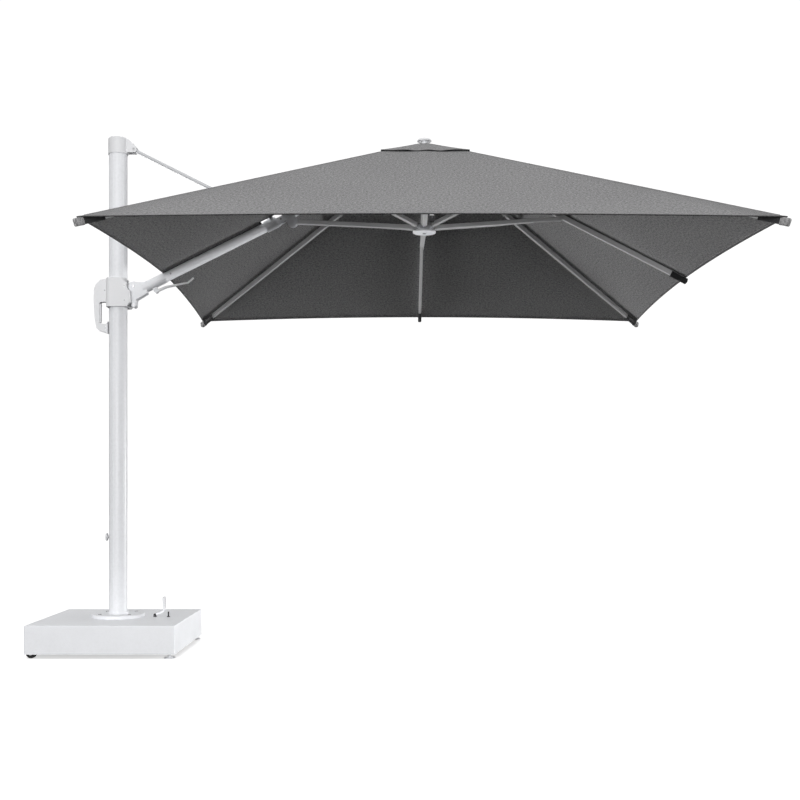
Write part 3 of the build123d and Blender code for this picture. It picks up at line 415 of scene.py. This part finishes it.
def surface_grain():
    """Fine skin of a coat or a moulding: grain, cloudy tone, uneven gloss and rubbed edges."""
    tree, given, put_out = effect(
        "Surface grain",
        [
            ("Color", "NodeSocketColor", (0.8, 0.8, 0.8, 1)),
            ("Worn", "NodeSocketColor", (0.5, 0.5, 0.5, 1)),
            ("Grain", "NodeSocketFloat", 900.0),
            ("Roughness", "NodeSocketFloat", 0.4),
            ("Spread", "NodeSocketFloat", 0.08),
            ("Wear", "NodeSocketFloat", 0.2),
        ],
        [("Color", "NodeSocketColor"), ("Roughness", "NodeSocketFloat"), ("Height", "NodeSocketFloat")],
    )
    place = put(tree, "ShaderNodeTexCoord").outputs["Object"]
    fine = put(tree, "ShaderNodeTexNoise", None, (), Vector=place, Scale=given.outputs["Grain"], Detail=2.0)
    patches = put(tree, "ShaderNodeTexNoise", None, (), Vector=place, Scale=9.0, Detail=4.0, Roughness=0.6)
    scuffs = put(tree, "ShaderNodeTexNoise", None, (), Vector=place, Scale=60.0, Detail=5.0, Roughness=0.75)
    edges = put(tree, "ShaderNodeNewGeometry").outputs["Pointiness"]
    edge = span(tree, edges, 0.53, 0.62, 0.0, 1.0)
    rubbed = maths(tree, "MULTIPLY", edge, span(tree, scuffs.outputs[0], 0.45, 0.62, 0.0, 1.0))
    worn = maths(tree, "MULTIPLY", rubbed, given.outputs["Wear"])
    speck = span(tree, fine.outputs[0], 0.3, 0.7, 0.975, 1.015)
    cloud = span(tree, patches.outputs[0], 0.3, 0.7, 0.97, 1.01)
    tone = maths(tree, "MULTIPLY", speck, cloud)
    tint = put(tree, "ShaderNodeCombineColor", None, (tone, tone, tone)).outputs[0]
    clean = blended(tree, 1.0, given.outputs["Color"], tint, "MULTIPLY")
    tree.links.new(blended(tree, worn, clean, given.outputs["Worn"]), put_out.inputs["Color"])
    gloss = span(tree, patches.outputs[0], 0.3, 0.7, -1.0, 1.0)
    uneven = maths(tree, "MULTIPLY", gloss, given.outputs["Spread"])
    tree.links.new(maths(tree, "ADD", given.outputs["Roughness"], uneven), put_out.inputs["Roughness"])
    tree.links.new(fine.outputs[0], put_out.inputs["Height"])
    return tree


def group_named(name, build):
    """A shared effect, built the first time it is asked for."""
    return bpy.data.node_groups.get(name) or build()


def shader(name):
    """A new material's tree and its Principled shader."""
    made = bpy.data.materials.new(name)
    made.use_nodes = True
    return made, made.node_tree, made.node_tree.nodes["Principled BSDF"]


def bumped(tree, surface, height, distance, strength=1.0):
    """Feed a height through a Bump node to the shader's normal."""
    node = put(tree, "ShaderNodeBump", None, (), Strength=strength, Distance=distance, Height=height)
    tree.links.new(node.outputs[0], surface.inputs["Normal"])


def cloth_material(name, light, dark, threads=620.0, mottle=1.0, stitched=False, sheen=0.08):
    """Woven cloth, with stitch rows if the piece is a sewn strip."""
    found = bpy.data.materials.get(name)
    if found:
        return found
    made, tree, surface = shader(name)
    place = put(tree, "ShaderNodeUVMap", {"uv_map": "cloth"}).outputs[0]
    weave = put(tree, "ShaderNodeGroup", {"node_tree": group_named("Melange weave", melange_weave)})
    tree.links.new(place, weave.inputs["Coordinates"])
    weave.inputs["Light"].default_value = opaque(light)
    weave.inputs["Dark"].default_value = opaque(dark)
    weave.inputs["Threads"].default_value = threads
    weave.inputs["Mottle"].default_value = mottle
    colour, height = weave.outputs["Color"], weave.outputs["Height"]
    if stitched:
        rows = put(tree, "ShaderNodeGroup", {"node_tree": group_named("Stitch rows", stitch_rows)})
        strip = put(tree, "ShaderNodeUVMap", {"uv_map": "strip"}).outputs[0]
        tree.links.new(strip, rows.inputs["Coordinates"])
        thread = tuple(min(1.0, 1.9 * part + 0.01) for part in light)
        colour = blended(tree, rows.outputs["Mask"], colour, opaque(thread))
        height = maths(tree, "ADD", height, maths(tree, "MULTIPLY", rows.outputs["Height"], 3.0))
    tree.links.new(colour, surface.inputs["Base Color"])
    tree.links.new(weave.outputs["Roughness"], surface.inputs["Roughness"])
    surface.inputs["Sheen Weight"].default_value = sheen
    surface.inputs["Sheen Roughness"].default_value = 0.5
    surface.inputs["Specular IOR Level"].default_value = 0.15
    bumped(tree, surface, height, 0.0004)
    return made


def grained_material(name, colour, worn, rough, grain, relief, metallic=0.0, spread=0.06, wear=0.2):
    """Painted, moulded or metal surface with a fine skin."""
    found = bpy.data.materials.get(name)
    if found:
        return found
    made, tree, surface = shader(name)
    skin = put(tree, "ShaderNodeGroup", {"node_tree": group_named("Surface grain", surface_grain)})
    for socket, value in (
        ("Color", opaque(colour)),
        ("Worn", opaque(worn)),
        ("Grain", grain),
        ("Roughness", rough),
        ("Spread", spread),
        ("Wear", wear),
    ):
        skin.inputs[socket].default_value = value
    tree.links.new(skin.outputs["Color"], surface.inputs["Base Color"])
    tree.links.new(skin.outputs["Roughness"], surface.inputs["Roughness"])
    surface.inputs["Metallic"].default_value = metallic
    bumped(tree, surface, skin.outputs["Height"], relief)
    return made


# ---------------------------------------------------------------------------
# Mesh helpers
# ---------------------------------------------------------------------------


def outward(azimuth):
    """Level direction away from the hub."""
    turn = math.radians(azimuth)
    return Vector((math.cos(turn), math.sin(turn), 0))


def new_piece(name, points, faces, uvs, material):
    """A smooth-shaded mesh object. Uvs maps a layer's name to one coordinate pair per point."""
    mesh = bpy.data.meshes.new(name)
    mesh.from_pydata([tuple(point) for point in points], [], faces)
    for layer, pairs in uvs.items():
        drawn = mesh.uv_layers.new(name=layer)
        for loop in mesh.loops:
            drawn.data[loop.index].uv = pairs[loop.vertex_index]
    for polygon in mesh.polygons:
        polygon.use_smooth = True
    mesh.materials.append(material)
    mesh.update()
    piece = bpy.data.objects.new(name, mesh)
    bpy.context.scene.collection.objects.link(piece)
    return piece


def grid_faces(rows, columns):
    """Quads of a grid whose points run column by column within each row."""
    faces = []
    for row in range(rows - 1):
        for column in range(columns - 1):
            near = row * columns + column
            far = near + columns
            faces.append((near, near + 1, far + 1, far))
    return faces


def tube_faces(rings, around, closed=False):
    """Quads between rings of points, and from the last ring to the first if the tube is closed."""
    faces = []
    for ring in range(rings if closed else rings - 1):
        near = ring * around
        far = (ring + 1) % rings * around
        for spoke in range(around):
            beside = (spoke + 1) % around
            faces.append((near + spoke, near + beside, far + beside, far + spoke))
    return faces


def strip(name, middles, acrosses, ups, width, thickness, material, closed=False):
    """A flat band with soft edges that follows a line, as sewn hems, seams and webbing do."""
    upper = [(-0.5, 0), (-0.46, 0.5), (0, 0.56), (0.46, 0.5)]
    section = upper + [(-side, -lift) for side, lift in upper]
    points, cloth, lengths = [], [], []
    travelled = 0.0
    for place, (middle, across, up) in enumerate(zip(middles, acrosses, ups)):
        if place:
            travelled += (middle - middles[place - 1]).length
        for side, lift in section:
            points.append(middle + across * (side * width) + up * (lift * thickness))
            cloth.append((travelled, side * width))
            lengths.append((travelled, side + 0.5))
    count = len(section)
    last = len(middles)
    faces = tube_faces(last, count, closed)
    if not closed:
        faces.append(tuple(range(count)))
        faces.append(tuple(reversed(range((last - 1) * count, last * count))))
    return new_piece(name, points, faces, {"cloth": cloth, "strip": lengths}, material)


# ---------------------------------------------------------------------------
# The canopy's shape
# ---------------------------------------------------------------------------


def face_of(azimuth):
    """Azimuth of the face that a direction lies on."""
    return (round(azimuth / 90) * 90) % 360


def cloth_point(azimuth, share, settings):
    """Point of the canopy's top at an azimuth, share being 0 at the hub and 1 at the edge."""
    face = face_of(azimuth)
    lean = math.tan(math.radians((azimuth - face + 180) % 360 - 180))
    away = share * (half_side - settings.hollow * (1 - lean * lean))
    height = apex_z - roof_slope * away
    if face == 180:
        height += settings.tenting * share * (1 - abs(lean))
    height -= settings.sag * math.sin(math.pi * abs(lean)) ** 2 * max(0.0, math.sin(math.pi * share ** 1.3))
    place = outward(face) * away + outward(face + 90) * (away * lean)
    return Vector((hub_x + place.x, place.y, height))


def cloth_frame(azimuth, share, settings):
    """Point of the canopy, direction down its slope there and its upright normal."""
    here = cloth_point(azimuth, share, settings)
    step, turn = 0.004, 0.3
    higher, lower = cloth_point(azimuth, share - step, settings), cloth_point(azimuth, share + step, settings)
    before, after = cloth_point(azimuth - turn, share, settings), cloth_point(azimuth + turn, share, settings)
    down = (lower - higher).normalized()
    aside = (after - before).normalized()
    up = aside.cross(down)
    return here, down, (up if up.z > 0 else -up).normalized()


def fold_with(piece, body):
    """The piece rides with the body it is given, on a mesh of its own."""
    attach(piece, body)
    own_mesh(piece)
    return piece


def petal_azimuths(azimuth, steps):
    """Azimuths across one petal, evenly spaced along the canopy's edge."""
    return [azimuth - 22.5 + 45 * step / steps for step in range(steps + 1)]


def slot_sides():
    """Near and far ends and half width of the slot that the upper strut passes through."""
    return sleeve_low.x - SLOT_MARGIN, sleeve_high.x + SLOT_MARGIN, fork_high.y + SLOT_MARGIN


class PARASOL_OT_canopy(bpy.types.Operator):
    """Canopy cloth: eight petals that meet edge to edge, one carried by each rib and one by the arm"""

    bl_idname = "parasol.canopy"
    bl_label = "Canopy"

    def execute(self, context):
        settings = context.scene.parasol_cloth
        material = cloth_material("canopy cloth", settings.light_thread, settings.dark_thread)
        start = settings.vent_half / half_side
        rows, steps = 40, 16
        for name, azimuth, body in PETALS:
            points, cloth = [], []
            for row in range(rows + 1):
                share = start + (1 - start) * row / rows
                for angle in petal_azimuths(azimuth, steps):
                    point = cloth_point(angle, share, settings)
                    points.append(point)
                    run = Vector((point.x - hub_x, point.y, 0))
                    face = face_of(angle)
                    cloth.append((run.dot(outward(face + 90)), run.dot(outward(face)) * 1.125))
            faces = grid_faces(rows + 1, steps + 1)
            piece = new_piece(f"canopy_{name}", points, faces, {"cloth": cloth}, material)
            if name == "arm_side":
                self.cut_slot(piece)
            self.face_up(piece)
            corner = cloth_point(azimuth - 22.5, 1, settings)
            other = cloth_point(azimuth + 22.5, 1, settings)
            tip = cloth_point(azimuth, 1, settings)
            root = cloth_point(azimuth, start, settings)
            fold_with(piece, body)
            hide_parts("canopy")
        return {"FINISHED"}

    def face_up(self, piece):
        """Turn every face's front upwards."""
        editing = bmesh.new()
        editing.from_mesh(piece.data)
        turned = [face for face in editing.faces if face.normal.z < 0]
        bmesh.ops.reverse_faces(editing, faces=turned)
        editing.to_mesh(piece.data)
        editing.free()

    def cut_slot(self, piece):
        """Open the cloth where the upper strut reaches the arm's sleeve."""
        low, high, half = slot_sides()
        across, along = (0, 1, 0), (1, 0, 0)
        cuts = (((0, half, 0), across), ((0, -half, 0), across), ((low, 0, 0), along), ((high, 0, 0), along))
        editing = bmesh.new()
        editing.from_mesh(piece.data)
        for spot, normal in cuts:
            everything = editing.verts[:] + editing.edges[:] + editing.faces[:]
            bmesh.ops.bisect_plane(editing, geom=everything, plane_co=spot, plane_no=normal, dist=1e-6)
        inside = []
        for face in editing.faces:
            middle = face.calc_center_median()
            if low < middle.x < high and abs(middle.y) < half:
                inside.append(face)
        bmesh.ops.delete(editing, geom=inside, context="FACES")
        editing.to_mesh(piece.data)
        editing.free()


class PARASOL_OT_trim(bpy.types.Operator):
    """Folded hems round the edge, felled seams over the corner ribs and the bound slot over the arm"""

    bl_idname = "parasol.trim"
    bl_label = "Hems and seams"

    def execute(self, context):
        settings = context.scene.parasol_cloth
        light = [part * 0.72 for part in settings.light_thread]
        dark = [part * 0.62 for part in settings.dark_thread]
        hem_cloth = cloth_material("hem cloth", light, dark, stitched=True)
        edge_light = [part * 0.3 for part in light]
        edge_dark = [part * 0.3 for part in dark]
        edge_cloth = cloth_material("edge cloth", edge_light, edge_dark)
        webbing = [part * 3 for part in settings.trim]
        binding = cloth_material("binding webbing", webbing, settings.trim, threads=420.0, mottle=0.2)
        for name, azimuth, body in PETALS:
            middles, acrosses, ups = [], [], []
            for angle in petal_azimuths(azimuth, 24):
                here, down, up = cloth_frame(angle, 1.0, settings)
                middles.append(here - down * (settings.hem / 2 - 0.002) - up * (settings.cloth / 2))
                acrosses.append(down)
                ups.append(up)
            hem = strip(f"hem_{name}", middles, acrosses, ups, settings.hem, HEM_THICKNESS, hem_cloth)
            fold_with(hem, body)
            edging = strip(
                f"edge_binding_{name}",
                [middle + across * (settings.hem / 2) for middle, across in zip(middles, acrosses)],
                acrosses,
                ups,
                EDGE_WIDTH,
                EDGE_THICKNESS,
                edge_cloth,
            )
            fold_with(edging, body)
            if azimuth % 90:
                self.corner_seam(name, azimuth, body, settings, hem_cloth)
        self.slot_binding(settings, binding)
        return {"FINISHED"}

    def corner_seam(self, name, azimuth, body, settings, material):
        """Felled seam over a corner rib, a low fold along the ridge of two faces."""
        count = 48
        start = settings.vent_half / half_side
        section = [(-0.5, 0.0), (-0.45, 1.0), (0.0, 1.25), (0.45, 1.0), (0.5, 0.0)]
        points, cloth, lengths = [], [], []
        for step in range(count + 1):
            share = start + (0.985 - start) * step / count
            middle = cloth_point(azimuth, share, settings)
            side = outward(azimuth + 90)
            travelled = (middle - cloth_point(azimuth, start, settings)).length
            for offset, lift in section:
                across = offset * settings.seam
                fall = abs(across) * math.sin(math.radians(45)) * roof_slope
                points.append(middle + side * across + Vector((0, 0, lift * 0.0011 - fall)))
                cloth.append((across, travelled))
                lengths.append((travelled, offset + 0.5))
        faces = grid_faces(count + 1, len(section))
        seam = new_piece(f"seam_{name}", points, faces, {"cloth": cloth, "strip": lengths}, material)
        fold_with(seam, body)

    def slot_binding(self, settings, material):
        """Webbing sewn round the slot that the upper strut passes through."""
        low, high, half = slot_sides()
        ring = []
        corners = [(low, -half), (high, -half), (high, half), (low, half)]
        for place, (x, y) in enumerate(corners):
            next_x, next_y = corners[(place + 1) % 4]
            for step in range(8):
                ring.append((x + (next_x - x) * step / 8, y + (next_y - y) * step / 8))
        middles, acrosses, ups = [], [], []
        centre = Vector(((low + high) / 2, 0, 0))
        for x, y in ring:
            run = hub_x - x
            azimuth = math.degrees(math.atan2(y, -run)) % 360
            face_run = run / (half_side - settings.hollow * (1 - (y / run) ** 2))
            here, _, up = cloth_frame(azimuth, face_run, settings)
            middles.append(here + up * 0.0006)
            away = Vector((x, y, 0)) - centre
            away = away - up * away.dot(up)
            acrosses.append(away.normalized())
            ups.append(up)
        band = strip(
            "arm_slot_binding", middles, acrosses, ups, SLOT_BAND, SLOT_BAND_THICKNESS, material, closed=True
        )
        fold_with(band, "arm")


class PARASOL_OT_pockets(bpy.types.Operator):
    """Sewn pockets that hold the rib ends, with grey tabs on the corners"""

    bl_idname = "parasol.pockets"
    bl_label = "Rib pockets"

    def execute(self, context):
        settings = context.scene.parasol_cloth
        webbing = [part * 2.6 for part in settings.trim]
        black = cloth_material(
            "pocket webbing", webbing, settings.trim, threads=380.0, mottle=0.25, stitched=True
        )
        grey = cloth_material("tab cloth", settings.light_thread, settings.dark_thread, stitched=True)
        for name, azimuth, body in PETALS:
            if name == "arm_side":
                continue
            joint = next(entry for entry in frame["joints"] if entry["name"] == f"{name}_rib_fold")
            start = Vector(joint["pos_m"])
            corner = azimuth % 90 != 0
            slope = math.atan(roof_slope / (math.sqrt(2) if corner else 1))
            flat = outward(azimuth)
            along = flat * math.cos(slope) - Vector((0, 0, math.sin(slope)))
            up = flat * math.sin(slope) + Vector((0, 0, math.cos(slope)))
            side = outward(azimuth + 90)
            edge = half_side * math.sqrt(2) if corner else half_side - settings.hollow
            tip = start + along * ((edge + RIB_OVERHANG - POCKET_SETBACK) / math.cos(slope))
            length = settings.pocket * (1.4 if corner else 1.0)
            lie = (along, side, up)
            pocket = self.sleeve(
                f"pocket_{name}", tip, lie, length, POCKET_HALF_WIDTH, POCKET_HALF_HEIGHT, black
            )
            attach(pocket, body)
            if corner:
                tab_tip = tip + along * 0.0005
                tab = self.sleeve(
                    f"corner_tab_{name}", tab_tip, lie, TAB_LENGTH, TAB_HALF_WIDTH, TAB_HALF_HEIGHT, grey
                )
                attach(tab, body)
        return {"FINISHED"}

    def sleeve(self, name, tip, lie, length, half_width, half_height, material):
        """A cloth sleeve drawn over a rib's end, closed beyond it and slack at its mouth."""
        along, side, up = lie
        around = 32
        rings = 22
        points, cloth, lengths = [], [], []
        for ring in range(rings + 1):
            share = ring / rings
            place = -length + (length + 0.004) * share
            close = max(0.0, (share - 0.93) / 0.07)
            shrink = math.sqrt(max(0.0, 1 - close * close)) * 0.98 + 0.02
            mouth = 1 + 0.05 * math.exp(-share * 9)
            for spoke in range(around):
                turn = TAU * spoke / around
                c, s = math.cos(turn), math.sin(turn)
                square = (abs(c) ** 5 + abs(s) ** 5) ** (-0.2)
                crease = 1 + 0.012 * math.sin(3 * turn + 17 * share) * (1 - share)
                wide = half_width * c * square * shrink * mouth * crease
                tall = half_height * s * square * shrink * mouth * crease
                tall = min(tall, half_height)
                points.append(tip + along * place + side * wide + up * tall)
                cloth.append((turn * half_width, place))
                lengths.append((place, spoke / around))
        faces = tube_faces(rings + 1, around)
        faces.append(tuple(range(rings * around, (rings + 1) * around)))
        return new_piece(name, points, faces, {"cloth": cloth, "strip": lengths}, material)


class PARASOL_OT_vent_cap(bpy.types.Operator):
    """Loose cap over the vent opening, with a fluttering edge and a dark band under it"""

    bl_idname = "parasol.vent_cap"
    bl_label = "Vent cap"

    def execute(self, context):
        settings = context.scene.parasol_cloth
        material = cloth_material("canopy cloth", settings.light_thread, settings.dark_thread)
        webbing = [part * 2.2 for part in settings.trim]
        black = cloth_material("cap webbing", webbing, settings.trim, threads=400.0, mottle=0.2)
        rings, spokes = 18, 128
        start = 0.014 / cap_half
        points, cloth = [], []
        for ring in range(rings + 1):
            share = start + (1 - start) * ring / rings
            for spoke in range(spokes):
                angle = 360 * spoke / spokes
                points.append(self.cap_point(angle, share, settings))
                run = outward(angle) * share * cap_half
                cloth.append((run.x, run.y))
        faces = [(first, *reversed(others)) for first, *others in tube_faces(rings + 1, spokes)]
        cap = new_piece("vent_cap_cloth", points, faces, {"cloth": cloth}, material)
        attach(cap, "top_hub")
        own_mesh(cap)
        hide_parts("vent_cap")
        middles, acrosses, ups = [], [], []
        for spoke in range(spokes):
            angle = 360 * spoke / spokes
            here = self.cap_point(angle, 1.0, settings)
            inner = self.cap_point(angle, 0.96, settings)
            down = (here - inner).normalized()
            middles.append(here - down * 0.007 - Vector((0, 0, CAP_BAND_THICKNESS)))
            acrosses.append(down)
            ups.append(Vector((0, 0, 1)))
        band = strip(
            "vent_cap_band", middles, acrosses, ups, CAP_BAND, CAP_BAND_THICKNESS, black, closed=True
        )
        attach(band, "top_hub")
        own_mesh(band)
        return {"FINISHED"}

    def cap_point(self, angle, share, settings):
        """Point of the cap's top: a softened square pyramid whose edge lifts at the corners."""
        face = face_of(angle)
        lean = math.tan(math.radians((angle - face + 180) % 360 - 180))
        away = share * cap_half * (1 - 0.03 * (1 - lean * lean))
        place = outward(face) * away + outward(face + 90) * (away * lean)
        ridge = math.hypot(away, away * lean)
        slope = (cap_high.z - cap_low.z - 0.0014) / cap_half
        wave = settings.flutter * share ** 4 * (0.5 + 0.5 * math.sin(math.radians(angle) * 12 + 0.7))
        lift = 0.006 * share ** 3 * abs(lean) ** 3
        soft = 0.003 * math.exp(-((ridge / 0.03) ** 2))
        return Vector((hub_x + place.x, place.y, cap_high.z - slope * away + wave + lift - soft))


class PARASOL_OT_finishes(bpy.types.Operator):
    """Coat, moulding, metal, rubber and stone finishes on every part of the frame"""

    bl_idname = "parasol.finishes"
    bl_label = "Frame finishes"

    def execute(self, context):
        tones = context.scene.parasol_frame
        coat = grained_material(
            "powder coat", tones.coat, (0.5, 0.5, 0.5), 0.42, 1400.0, 0.00004, wear=0.1, spread=0.05
        )
        rib = grained_material("rib coat", tones.rib_coat, (0.4, 0.4, 0.4), 0.36, 1200.0, 0.00003, wear=0.25)
        cover = grained_material(
            "cover coat", tones.coat, (0.6, 0.6, 0.6), 0.5, 520.0, 0.00009, wear=0.15, spread=0.08
        )
        plastic = grained_material(
            "moulded plastic", tones.plastic, (0.7, 0.7, 0.7), 0.44, 800.0, 0.00005, wear=0.1
        )
        steel = grained_material(
            "plain steel", tones.steel, (0.3, 0.3, 0.3), 0.34, 600.0, 0.00003, metallic=1.0
        )
        bush = grained_material("grey bush", (0.3, 0.3, 0.31), (0.2, 0.2, 0.2), 0.6, 500.0, 0.00005)
        rubber = grained_material(
            "wheel rubber", tones.rubber, (0.04, 0.04, 0.04), 0.7, 420.0, 0.00015, wear=0.6
        )
        stone = grained_material("ballast stone", tones.stone, (0.5, 0.5, 0.48), 0.9, 110.0, 0.0009, wear=0.5)
        # Painted shade: the pedal bracket is coloured near-black, standing in for the shade it sits in beside
        # the flange
        dark = grained_material(
            "bracket steel painted shade", (0.03, 0.03, 0.032), (0.1, 0.1, 0.1), 0.4, 600.0, 0.00003, metallic=0.6
        )
        by_slot = {
            "white_frame": coat,
            "white_steel": coat,
            "white_plastic": plastic,
            "steel_fasteners": steel,
            "grey_bush": bush,
            "ballast_stone": stone,
            "black_wheel": rubber,
            FABRIC_SLOT: coat,
        }
        # Painted shade: the upper strut gets the powder coat darkened to 0.7, standing in for less light on
        # it so its lit top does not burn out white
        strut_shaded_tone = [part * 0.7 for part in tones.coat]
        strut = grained_material("strut coat painted shade", strut_shaded_tone, (0.5, 0.5, 0.5), 0.6, 900.0, 0.0, wear=0.0)
        special = {"base_cover": cover, "pedal_bracket": dark, "beam": rib, "upper_strut": strut}
        slots = {entry["node"]: entry["material_slot"] for entry in frame["record"]["subparts"]}
        for node, part in frame["nodes"].items():
            if node.endswith(("_rib", "_strut")) and node != "upper_strut":
                chosen = rib
            else:
                chosen = special.get(node, by_slot[slots[node]])
            part.data.materials.clear()
            part.data.materials.append(chosen)
        return {"FINISHED"}


class PARASOL_OT_stage(bpy.types.Operator):
    """Plain pale floor, soft studio light and the camera"""

    bl_idname = "parasol.stage"
    bl_label = "Stage"

    def execute(self, context):
        settings = context.scene.parasol_stage
        half = settings.floor_side / 2
        mesh = bpy.data.meshes.new("studio_floor")
        corners = [(-half, -half, 0), (half, -half, 0), (half, half, 0), (-half, half, 0)]
        mesh.from_pydata(corners, [], [(0, 1, 2, 3)])
        floor = bpy.data.objects.new("studio_floor", mesh)
        context.scene.collection.objects.link(floor)
        mesh.materials.append(self.floor_material())
        floor.location.z = -0.0005
        floor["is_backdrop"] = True
        self.surround(context, settings)
        target = Vector((hub_x, 0, 1.9))
        self.softbox("key_softbox", settings.key, 4.5, (-1.2, -2.5, 6.8), target)
        self.softbox("front_softbox", settings.front, 5.0, (-0.6, -9.0, 1.6), Vector((0, 0, 1.3)))
        roof = bpy.data.collections.new("roof_lit")
        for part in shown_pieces():
            body = body_of(part)[0]
            if body.endswith(("_rib", "_strut", "hub")) or part.name.startswith(("canopy", "hem")):
                roof.objects.link(part)
        self.softbox("right_softbox", settings.right, 1.6, (hub_x + 5.0, 3.8, 0.9), target)
        left = self.softbox("left_softbox", settings.left, 1.6, (hub_x - 5.0, 3.8, 0.9), target)
        left.light_linking.receiver_collection = roof
        low = bpy.data.collections.new("base_lit")
        low.objects.link(frame["nodes"]["base_cover"])
        fill = self.softbox("base_softbox", settings.fill, 1.6, (3.5, -0.6, 0.9), Vector((-1.0, 0, 0.1)))
        fill.light_linking.receiver_collection = low
        undersides = bpy.data.collections.new("undersides_lit")
        for node, part in frame["nodes"].items():
            bar = node in ("arm_tube", "arm_extension", "beam") or node.endswith(("_rib", "_strut"))
            if bar or "hub" in node:
                undersides.objects.link(part)
        above = Vector((hub_x, 0, 2.4))
        glow = self.softbox("floor_softbox", settings.glow, 2.4, (hub_x, -0.2, 0.05), above)
        glow.light_linking.receiver_collection = undersides
        data = bpy.data.cameras.new("camera")
        data.lens = settings.lens
        data.sensor_width = 36.0
        data.shift_y = settings.rise
        data.clip_end = 200.0
        camera = bpy.data.objects.new("camera", data)
        context.scene.collection.objects.link(camera)
        camera.location = settings.camera_place
        camera.rotation_euler = (math.radians(90), 0, 0)
        context.scene.camera = camera
        context.scene.view_settings.view_transform = "Standard"
        return {"FINISHED"}

    def floor_material(self):
        """Pale floor that shows white and throws only a little light back."""
        made, tree, surface = shader("floor")
        grain = put(tree, "ShaderNodeTexNoise", None, (), Scale=3.0, Detail=3.0)
        tone = span(tree, grain.outputs[0], 0.3, 0.7, 0.9, 0.93)
        tint = put(tree, "ShaderNodeCombineColor", None, (tone, tone, tone)).outputs[0]
        tree.links.new(tint, surface.inputs["Base Color"])
        surface.inputs["Roughness"].default_value = 0.9
        glow = put(tree, "ShaderNodeEmission", None, ((1, 1, 1, 1), 0.55))
        lit = put(tree, "ShaderNodeAddShader", None, (surface.outputs[0], glow.outputs[0]))
        dim = put(tree, "ShaderNodeBsdfDiffuse", None, ((0.03, 0.03, 0.03, 1),))
        path = put(tree, "ShaderNodeLightPath")
        ports = (path.outputs["Is Camera Ray"], dim.outputs[0], lit.outputs[0])
        seen = put(tree, "ShaderNodeMixShader", None, ports)
        out = tree.nodes["Material Output"]
        tree.links.new(seen.outputs[0], out.inputs["Surface"])
        return made

    def surround(self, context, settings):
        """White surround, brighter overhead than low down, plain white where it is seen."""
        world = bpy.data.worlds.new("studio")
        world.use_nodes = True
        context.scene.world = world
        tree = world.node_tree
        tree.nodes.clear()
        place = put(tree, "ShaderNodeTexCoord").outputs["Generated"]
        height = put(tree, "ShaderNodeSeparateXYZ", None, (place,)).outputs[2]
        strength = maths(tree, "MULTIPLY", span(tree, height, -0.1, 0.9, 0.8, 1.0), settings.sky)
        path = put(tree, "ShaderNodeLightPath")
        white = maths(tree, "MULTIPLY", path.outputs["Is Camera Ray"], 1.05)
        shown = maths(tree, "MAXIMUM", strength, white)
        light = put(tree, "ShaderNodeBackground", None, ((1, 1, 1, 1), shown))
        out = put(tree, "ShaderNodeOutputWorld")
        tree.links.new(light.outputs[0], out.inputs["Surface"])

    def softbox(self, name, power, side, place, target):
        """A square area light aimed at a point."""
        data = bpy.data.lights.new(name, "AREA")
        data.energy = power
        data.size = side
        lamp = bpy.data.objects.new(name, data)
        bpy.context.scene.collection.objects.link(lamp)
        lamp.location = place
        lamp.visible_camera = False
        lamp.rotation_euler = (target - Vector(place)).to_track_quat("-Z", "Y").to_euler()
        return lamp


class PARASOL_PT_panel(bpy.types.Panel):
    """The parasol's pieces and their settings"""

    bl_idname = "PARASOL_PT_panel"
    bl_label = "Parasol"
    bl_space_type = "VIEW_3D"
    bl_region_type = "UI"
    bl_category = "Parasol"

    def draw(self, context):
        layout = self.layout
        for kind in OPERATORS:
            layout.operator(kind.bl_idname)
        scene = context.scene
        for settings in (scene.parasol_cloth, scene.parasol_frame, scene.parasol_stage):
            box = layout.box()
            for name in settings.bl_rna.properties.keys():
                if name not in ("rna_type", "name"):
                    box.prop(settings, name)


OPERATORS = [
    PARASOL_OT_canopy,
    PARASOL_OT_trim,
    PARASOL_OT_pockets,
    PARASOL_OT_vent_cap,
    PARASOL_OT_finishes,
    PARASOL_OT_stage,
]
GROUPS = [ParasolCloth, ParasolFrame, ParasolStage]


def register():
    for kind in GROUPS + OPERATORS + [PARASOL_PT_panel]:
        bpy.utils.register_class(kind)
    bpy.types.Scene.parasol_cloth = bpy.props.PointerProperty(type=ParasolCloth)
    bpy.types.Scene.parasol_frame = bpy.props.PointerProperty(type=ParasolFrame)
    bpy.types.Scene.parasol_stage = bpy.props.PointerProperty(type=ParasolStage)


def unregister():
    del bpy.types.Scene.parasol_cloth
    del bpy.types.Scene.parasol_frame
    del bpy.types.Scene.parasol_stage
    for kind in reversed(GROUPS + OPERATORS + [PARASOL_PT_panel]):
        bpy.utils.unregister_class(kind)


def main():
    register()
    bpy.ops.parasol.canopy()
    bpy.ops.parasol.trim()
    bpy.ops.parasol.pockets()
    bpy.ops.parasol.vent_cap()
    bpy.ops.parasol.finishes()
    bpy.ops.parasol.stage()
    bpy.context.view_layer.update()


if __name__ == "__main__":
    main()
